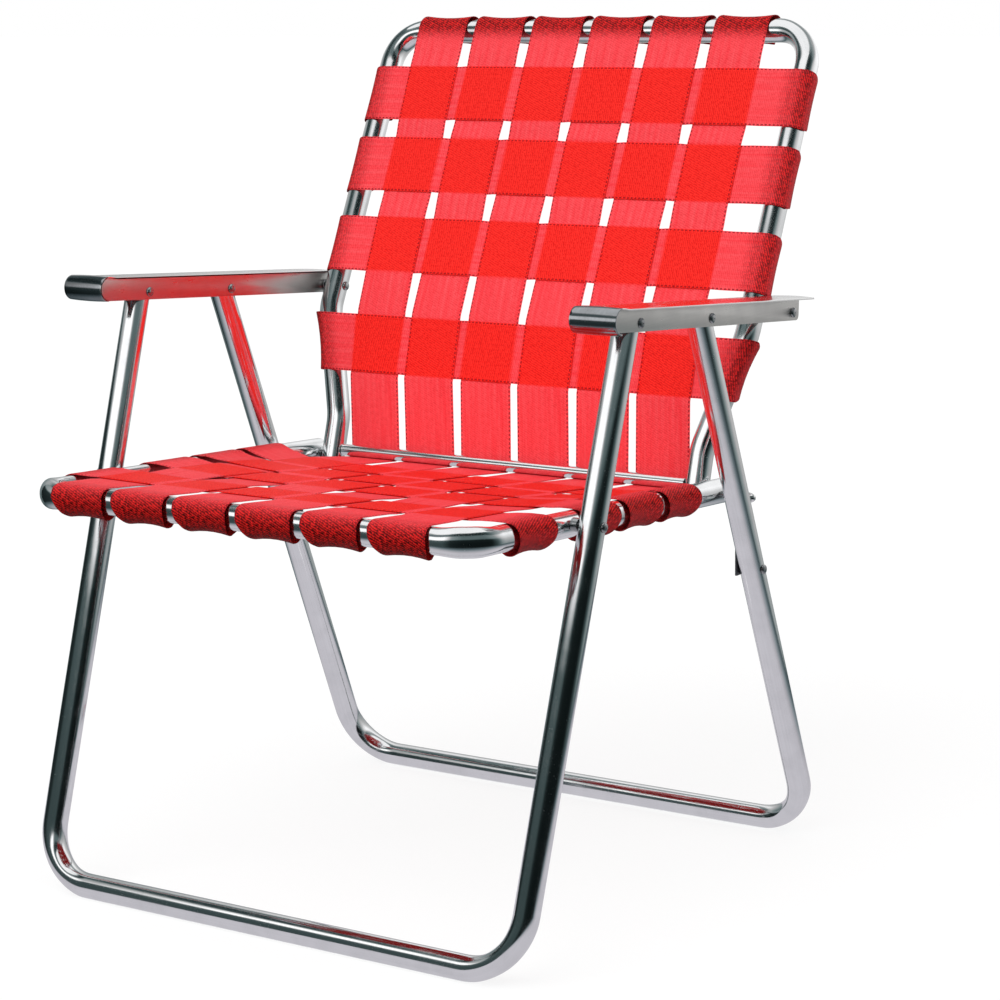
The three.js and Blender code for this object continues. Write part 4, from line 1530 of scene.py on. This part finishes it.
    def _sag(self, run: Any, x: Any) -> Any:
        """How far the seat webbing hangs, most near the stretcher in the middle.

        Args:
            run: The place along the seat.
            x: The place across it.

        Returns:
            The drop there.
        """
        hang = self.seat_sag * np.clip(1 - run / self.view.seat_depth, 0.0, 1.0)
        span = np.interp(run, self.sag_ends, self.sag_spans)
        power = np.interp(run, self.sag_ends, self.sag_powers)
        return hang * np.clip(1 - (np.abs(x) / span) ** power, 0.0, 1.0)

    def _long_x(self, index: int, share: Any, on_seat: bool) -> Any:
        """Middle of a long strap.

        Args:
            index: Its number, from the right-hand side.
            share: The share of the way from the stretcher to its bar.
            on_seat: Whether its seat half is meant.

        Returns:
            Its place across the chair.
        """
        place = index - (self.count - 1) / 2
        rod = place * self.rod_pitch + self.rod_offset
        pitch, offset = self.top_pitch, self.top_offset
        if on_seat:
            pitch, offset = self.front_pitch, self.front_offset
        return rod + (place * pitch + offset - rod) * share

    def _seat_half(self, index: int, over: bool, meet: float) -> tuple[Vec, Vec]:
        """A long strap's seat half, from the rod to its end under the front bar.

        Args:
            index: Its number, from the right-hand side.
            over: Whether it passes over the rearmost cross strap.
            meet: The angle on the rod at which its halves meet, in degrees.

        Returns:
            Its side view points, and how far another layer lies on each.
        """
        view, half = self.view, self.width / 2
        crossings = [Crossing(run, half, over == (i % 2 == 0)) for i, run in enumerate(self.seat_runs)]
        woven = self._line(self.seat_runs[0] - half - self.leads[0], view.seat_depth, crossings)
        woven[:, 1] -= self._sag(woven[:, 0], self._long_x(index, woven[:, 0] / view.seat_depth, True))
        drop = view.stretcher - view.rail_start
        rod = (float(drop @ view.seat_forward), float(drop @ view.seat_face))
        wrap = np.array([view.seat_depth, 0.0]) + self._wrap(self.seat_turn)
        local = np.concatenate([self._round_rod(rod, woven[0], meet), woven, wrap])
        side = view.rail_start + local[:, :1] * view.seat_forward + local[:, 1:] * view.seat_face
        return side, self._cover(local[:, 0], crossings)

    def _back_half(self, over: bool, meet: float) -> tuple[Vec, Vec]:
        """A long strap's back half, from the rod to its end behind the top bar.

        Args:
            over: Whether it passes over the third cross strap from the top.
            meet: The angle on the rod at which its halves meet, in degrees.

        Returns:
            Its side view points, and how far another layer lies on each.
        """
        view, half, rise = self.view, self.width / 2, self.low_back_rise
        low = [Crossing(rise, half, not over)]
        high = [Crossing(place, half, over == (i % 2 == 0)) for i, place in enumerate(self.back_rises[::-1])]
        woven = self._line(rise - half - self.leads[0], rise + half + self.leads[1], low)
        lower = np.concatenate([self._round_rod((view.stretcher_rise, 0.0), woven[0], meet), woven])
        woven = self._line(self.back_rises[-1] - half - self.leads[2], view.back_rise, high)
        upper = np.concatenate([woven, np.array([view.back_rise, 0.0]) + self._wrap(self.back_turn)])
        side = np.concatenate([
            view.hinge + lower[:, :1] * view.low_back_up + lower[:, 1:] * view.low_back_face,
            view.back + upper[:, :1] * view.back_up + upper[:, 1:] * view.back_face])
        return side, np.concatenate([self._cover(lower[:, 0], low), self._cover(upper[:, 0], high)])

    def _cover(self, runs: Vec, crossings: Sequence[Crossing]) -> Vec:
        """How far each place along a strap has another strap on it, from 0 to 1."""
        inside = [crossing.half - np.abs(runs - crossing.middle) for crossing in crossings]
        return np.clip(np.max(inside, axis=0) / self.cover_ease + 0.5, 0.0, 1.0)

    def _ends(self, values: Vec, more: int = 0) -> tuple[Vec, Vec]:
        """Views of a strap's two wrapped ends, each towards its tail, with more places before the tube."""
        reach = self.wrap_steps + more
        return values[:reach][::-1], values[-reach:]

    @staticmethod
    def _normals(line: Vec) -> Vec:
        """The direction off a flat line at each point, a quarter turn from the direction along it."""
        along = np.gradient(line, axis=0)
        return np.column_stack([-along[:, 1], along[:, 0]]) / np.linalg.norm(along, axis=1, keepdims=True)

    def _ribbon(self, number: int, lines: tuple[Vec, Vec, Vec, Vec], levels: tuple[Levels, Levels],
                curl: float) -> Ribbon:
        """A strap with its wrapped ends drawn in and curled, with painted shade where they lie on a tube.

        Args:
            number: What its uneven edges are drawn from.
            lines: Its centres, the directions across it and off it, and how far it is doubled.
            levels: How much painted shade each end gets on its tube, at the level marks, lighter or darker
                round the wrap as light falls on it.
            curl: How far its edges stand off at the ends.

        Returns:
            The ribbon.
        """
        count, steps = len(lines[0]), self.wrap_steps
        half, tube_shade, curled = np.full(count, self.width / 2), np.zeros(count), np.zeros(count)
        shares = np.linspace(0, 1, steps)
        pull = self.tail_pull * smooth_step((shares - self.pull_start) / (1 - self.pull_start))
        for end, (rate, shift) in zip(self._ends(half), self.fray_seeds):
            seed = rate * number + shift
            fray = sum(size * np.sin(speed * shares + (i + 1) * seed)
                       for i, (size, speed) in enumerate(self.frays))
            end *= 1 - pull + fray * shares
        # Painted shade ramps in just before the tube, then follows the level marks round it.
        rise = smooth_step(np.arange(1, self.run_in + 1) / self.run_in)
        for end, marks in zip(self._ends(tube_shade, self.run_in), levels):
            end[:] = np.concatenate([marks[0] * rise, np.interp(shares, self.level_marks, marks)])
        for end in self._ends(curled):
            end[:] = curl * smooth_step(np.arange(steps) / steps / self.curl_ease)
        return Ribbon(*lines[:3], half, lines[3], tube_shade, curled)

    def _long_strap(self, index: int) -> Ribbon:
        """One long strap, front bar to top bar round the stretcher tube.

        Args:
            index: Its number, from the right-hand side.

        Returns:
            The strap's ribbon.
        """
        view, steps, probe = self.view, self.wrap_steps, self.sag_probes[0]
        meet = math.degrees(math.acos(float(view.seat_forward @ view.low_back_up))) / 2 - 180
        seat_side, seat_cover = self._seat_half(index, index % 2 == 0, meet)
        back_side, back_cover = self._back_half(index % 2 == 0, meet)
        side = np.concatenate([seat_side[::-1], back_side[1:]])
        doubled = np.concatenate([seat_cover[::-1], back_cover[1:]])
        on_seat = np.arange(len(side)) < len(seat_side)
        reaches = np.where(on_seat, view.seat_depth, self.back_reach)
        shares = np.linalg.norm(side - view.stretcher, axis=1) / reaches
        x = np.where(on_seat, self._long_x(index, shares, True), self._long_x(index, shares, False))
        for end in self._ends(x):
            end += self.tail_slant * smooth_step(np.arange(steps) / steps / self.slant_ease)
        runs = np.where(on_seat, (side - view.rail_start) @ view.seat_forward, view.seat_depth)
        steep = (self._sag(runs, x - probe) - self._sag(runs, x + probe)) / (2 * probe)
        tilt = steep * np.clip(runs / self.tilt_run, 0.0, 1.0)
        across = ACROSS + tilt[:, None] * at(0.0, view.seat_face)
        faces_to = np.column_stack([np.zeros(len(side)), self._normals(side)])
        step = self.screw_step
        self._add_screw(Body.SEAT, at(x[step], view.seat_front), at(0.0, view.seat_forward),
                        at(0.0, view.seat_face))
        self._add_screw(Body.BACK, at(x[-step], view.back_top), at(0.0, view.back_up),
                        at(0.0, view.back_face))
        return self._ribbon(index, (np.column_stack([x, side]), across, faces_to, doubled),
                            (self.front_levels, self.top_shade_levels), self.edge_curl)

    def _turn(self, body: Body) -> float:
        """How far straps are turned round the tubes of a body, in degrees."""
        return self.seat_turn if body is Body.SEAT else self.back_turn

    def _add_screw(self, body: Body, axis: Vec, run: Vec, face: Vec) -> None:
        """Notes a screw through a strap's end, at the far side of the tube that it is turned round.

        Args:
            body: The body it rides on.
            axis: A place on the tube's axis.
            run: The direction along the strap.
            face: Off the frame's face.
        """
        angle = math.radians(90 - self._turn(body) + self.screw_turn)
        out = math.cos(angle) * run + math.sin(angle) * face
        reach = self.height + self.tail_lift + self.screw_gap
        self.screws.setdefault(body, []).append((axis + reach * out, out))

    def _cross_strap(self, row: CrossRow) -> Ribbon:
        """One cross strap, hooked round both tubes of a frame.

        Args:
            row: Its place.

        Returns:
            The strap's ribbon.
        """
        on_seat = row.body is Body.SEAT
        reach = self.view.seat_depth if on_seat else self.back_reach
        share = float(np.linalg.norm(row.place - self.view.stretcher)) / reach
        middles = [self._long_x(index, share, on_seat) for index in range(self.count)]
        crossings = [Crossing(middle, self.width / 2, row.over == (index % 2 == 0))
                     for index, middle in enumerate(middles)]
        hook = self._wrap(self._turn(row.body)) * (math.hypot(1.0, row.flare), 1.0) + (row.span, 0.0)
        local = np.concatenate([hook[::-1] * (-1, 1), self._line(-row.span, row.span, crossings), hook])
        x, pitch, probe = local[:, 0].copy(), np.zeros(len(local)), self.sag_probes[1]
        if on_seat:
            local[:, 1] -= self._sag(row.run, x)
            pitch = (self._sag(row.run - probe, x) - self._sag(row.run + probe, x)) / (2 * probe)
        face, normals = at(0.0, row.face), self._normals(local)
        outward = np.clip(np.abs(x) / row.span, 0, 1) - self.lean_start
        lean = np.sign(x) * np.clip(outward / self.lean_ease, 0, 1)
        across = -np.cross(ACROSS, face) - row.flare * lean[:, None] * ACROSS - pitch[:, None] * face
        centres = at(0.0, row.place) + local[:, :1] * ACROSS + local[:, 1:] * face
        faces_to = normals[:, :1] * ACROSS + normals[:, 1:] * face
        for hand in Hand:
            self._add_screw(row.body, at(hand.value * row.span, row.place), hand.value * ACROSS, face)
        levels = self.seat_hook_levels if on_seat else self.back_hook_levels
        return self._ribbon(row.number + self.count, (centres, across, faces_to, self._cover(x, crossings)),
                            (levels, levels), self.edge_curl if on_seat or row.flare else self.close_curl)

    def _cross_rows(self) -> list[CrossRow]:
        """The places of all cross straps.

        Returns:
            The rows, seat first.
        """
        view, frames = self.view, self.frames
        rows = [CrossRow(i + 1, Body.SEAT, view.rail_start + run * view.seat_forward, view.seat_face,
                         frames.seat_span, i % 2 == 0, run=run) for i, run in enumerate(self.seat_runs[::-1])]
        rows += [CrossRow(i + 1, Body.BACK, view.back + rise * view.back_up, view.back_face, frames.back_span,
                          i % 2 == 1) for i, rise in enumerate(self.back_rises)]
        taper_run = float(np.linalg.norm(view.back_bend - view.hinge)) - frames.taper_start
        taper = (frames.back_span - frames.hinge_span) / taper_run
        span = frames.hinge_span + taper * (self.low_back_rise - frames.taper_start)
        place = view.hinge + self.low_back_rise * view.low_back_up
        number = len(self.back_rises) + 1
        return rows + [CrossRow(number, Body.BACK, place, view.low_back_face, span, True, -taper)]

    def build(self, finishes: Finishes) -> None:
        """Makes all straps in place of their solids, and the screws that hold their ends.

        Args:
            finishes: The chair's finishes.
        """
        for index in range(self.count):
            strap = self._long_strap(index).build(f"long_strap_{index + 1}")
            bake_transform(strap)
            nodes = [f"seat_strap_long_{index + 1}", f"back_strap_long_{index + 1}"]
            fit(strap, nodes, material=finishes.webbing)
        for row in self._cross_rows():
            word = row.body.value
            strap = self._cross_strap(row).build(f"{word}_cross_strap_{row.number}")
            fit(strap, [f"{word}_strap_cross_{row.number}"], row.body, finishes.webbing)
        tree = TurnedTree("strap_screw_tree", self.screw_profile, self.screw_sides)
        for body, marks in self.screws.items():
            places, facings = [place for place, _ in marks], [out for _, out in marks]
            piece = tree.run(f"strap_screws_{body.value}", places, facings, self.screw_radius,
                             self.screw_length, finishes.plated)
            fit(piece, [], body)


@dataclass
class Studio:
    """Pale floor, soft light and the camera."""

    eye: Colour = (1.60218, -2.30287, 0.90694)
    yaw: float = 0.5855
    pitch: float = 0.1872
    roll: float = -0.016
    lens: float = 100.71
    sensor: float = 36.0
    sight: float = 200.0
    floor_size: float = 60.0
    floor_drop: float = 0.0002
    ambient: float = 0.62
    card_turns: int = 96
    card_line: tuple[Colour, ...] = (
        (0.02, 0.003, 0.0), (0.6, 0.003, 0.18), (1.2, 0.003, 0.36), (1.25, 0.01, 0.37), (1.25, 0.35, 0.44),
        (1.25, 0.55, 0.50), (1.25, 1.1, 0.64), (1.25, 1.3, 0.70), (1.25, 1.7, 0.85), (1.2, 2.0, 1.0))

    def _camera(self) -> None:
        """Sets the camera at the photograph's viewing angle."""
        ahead, fall = math.cos(self.pitch), math.sin(self.pitch)
        forward = np.array([-math.sin(self.yaw) * ahead, math.cos(self.yaw) * ahead, -fall])
        right = np.array([math.cos(self.yaw), math.sin(self.yaw), 0.0])
        up = np.cross(right, forward)
        wide = math.cos(self.roll) * right + math.sin(self.roll) * up
        tall = math.cos(self.roll) * up - math.sin(self.roll) * right
        data = bpy.data.cameras.new("camera")
        data.lens = self.lens
        data.sensor_width = self.sensor
        data.sensor_fit = "HORIZONTAL"
        data.clip_end = self.sight
        camera = bpy.data.objects.new("camera", data)
        turn = Matrix([list(row) for row in np.column_stack([wide, tall, -forward])])
        camera.matrix_world = Matrix.Translation(self.eye) @ turn.to_4x4()
        bpy.context.scene.collection.objects.link(camera)
        bpy.context.scene.camera = camera

    def _floor(self) -> None:
        """Lays the floor."""
        half, drop = self.floor_size / 2, -self.floor_drop
        corners = np.array([(x * half, y * half, drop) for x, y in ((-1, -1), (1, -1), (1, 1), (-1, 1))])
        floor = MeshMaker.make("floor", corners, [(0, 1, 2, 3)])
        floor.data.materials.append(FloorFinish().build())

    def _cards(self) -> None:
        """Stands cards round the set, for polished metal alone to reflect."""
        turns = self.card_turns
        points, uvs, faces = [], [], []
        for row, (radius, height, level) in enumerate(self.card_line):
            for turn in range(turns + 1):
                angle = math.tau * turn / turns - math.pi
                points.append((radius * math.cos(angle), radius * math.sin(angle), height))
                uvs.append((turn / turns, level))
                if row and turn:
                    here = row * (turns + 1) + turn
                    faces.append((here, here - 1, here - turns - 2, here - turns - 1))
        cards = MeshMaker.make("studio_cards", np.array(points), faces, np.array(uvs))
        cards.data.materials.append(CardFinish().build())
        cards.visible_camera = False
        cards.visible_diffuse = False
        cards.visible_transmission = False
        cards.visible_shadow = False

    def _world(self) -> None:
        """A white room to look at, and plain soft light from all sides."""
        world = bpy.data.worlds.new("studio")
        bpy.context.scene.world = world
        world.use_nodes = True
        world.node_tree.nodes.clear()
        bench = Bench(world.node_tree)
        tone = bench.blend(bench.seen(), (self.ambient, self.ambient, self.ambient), (1, 1, 1))
        back = bench.add("ShaderNodeBackground", {"Color": tone})
        bench.add("ShaderNodeOutputWorld", {"Surface": back.outputs[0]})

    @staticmethod
    def _sun(name: str, strength: float, softness: float, tilt: float, turn: float) -> None:
        """Adds a soft distant lamp.

        Args:
            name: The lamp's name.
            strength: Its strength.
            softness: How wide it looks, in degrees.
            tilt: Its angle from overhead, in degrees.
            turn: Its direction round the chair, in degrees.
        """
        data = bpy.data.lights.new(name, "SUN")
        data.energy = strength
        data.angle = math.radians(softness)
        lamp = bpy.data.objects.new(name, data)
        lamp.rotation_euler = (math.radians(tilt), 0.0, math.radians(turn))
        lamp.visible_glossy = False
        bpy.context.scene.collection.objects.link(lamp)

    def build(self) -> None:
        """Sets up the camera, floor, cards, world and lamps."""
        bpy.context.scene.view_settings.view_transform = "Standard"
        self._camera()
        self._floor()
        self._cards()
        self._world()
        self._sun("key", strength=1.4, softness=50.0, tilt=42.0, turn=-8.0)
        self._sun("fill", strength=0.7, softness=60.0, tilt=55.0, turn=62.0)


def main() -> None:
    """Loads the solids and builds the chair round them."""
    logging.basicConfig(level=logging.INFO, format="%(name)s: %(message)s")
    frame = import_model()
    view = SideView(frame["record"])
    finishes = Finishes()
    Studio().build()
    frames = TubeFrames(view)
    frames.build(finishes)
    Armrests(view).build(finishes)
    hardware = Hardware(view, frames)
    hardware.build(finishes)
    HingeLinks(view, hardware.link_face).build(finishes)
    Webbing(view, frames).build(finishes)


if __name__ == "__main__":
    main()
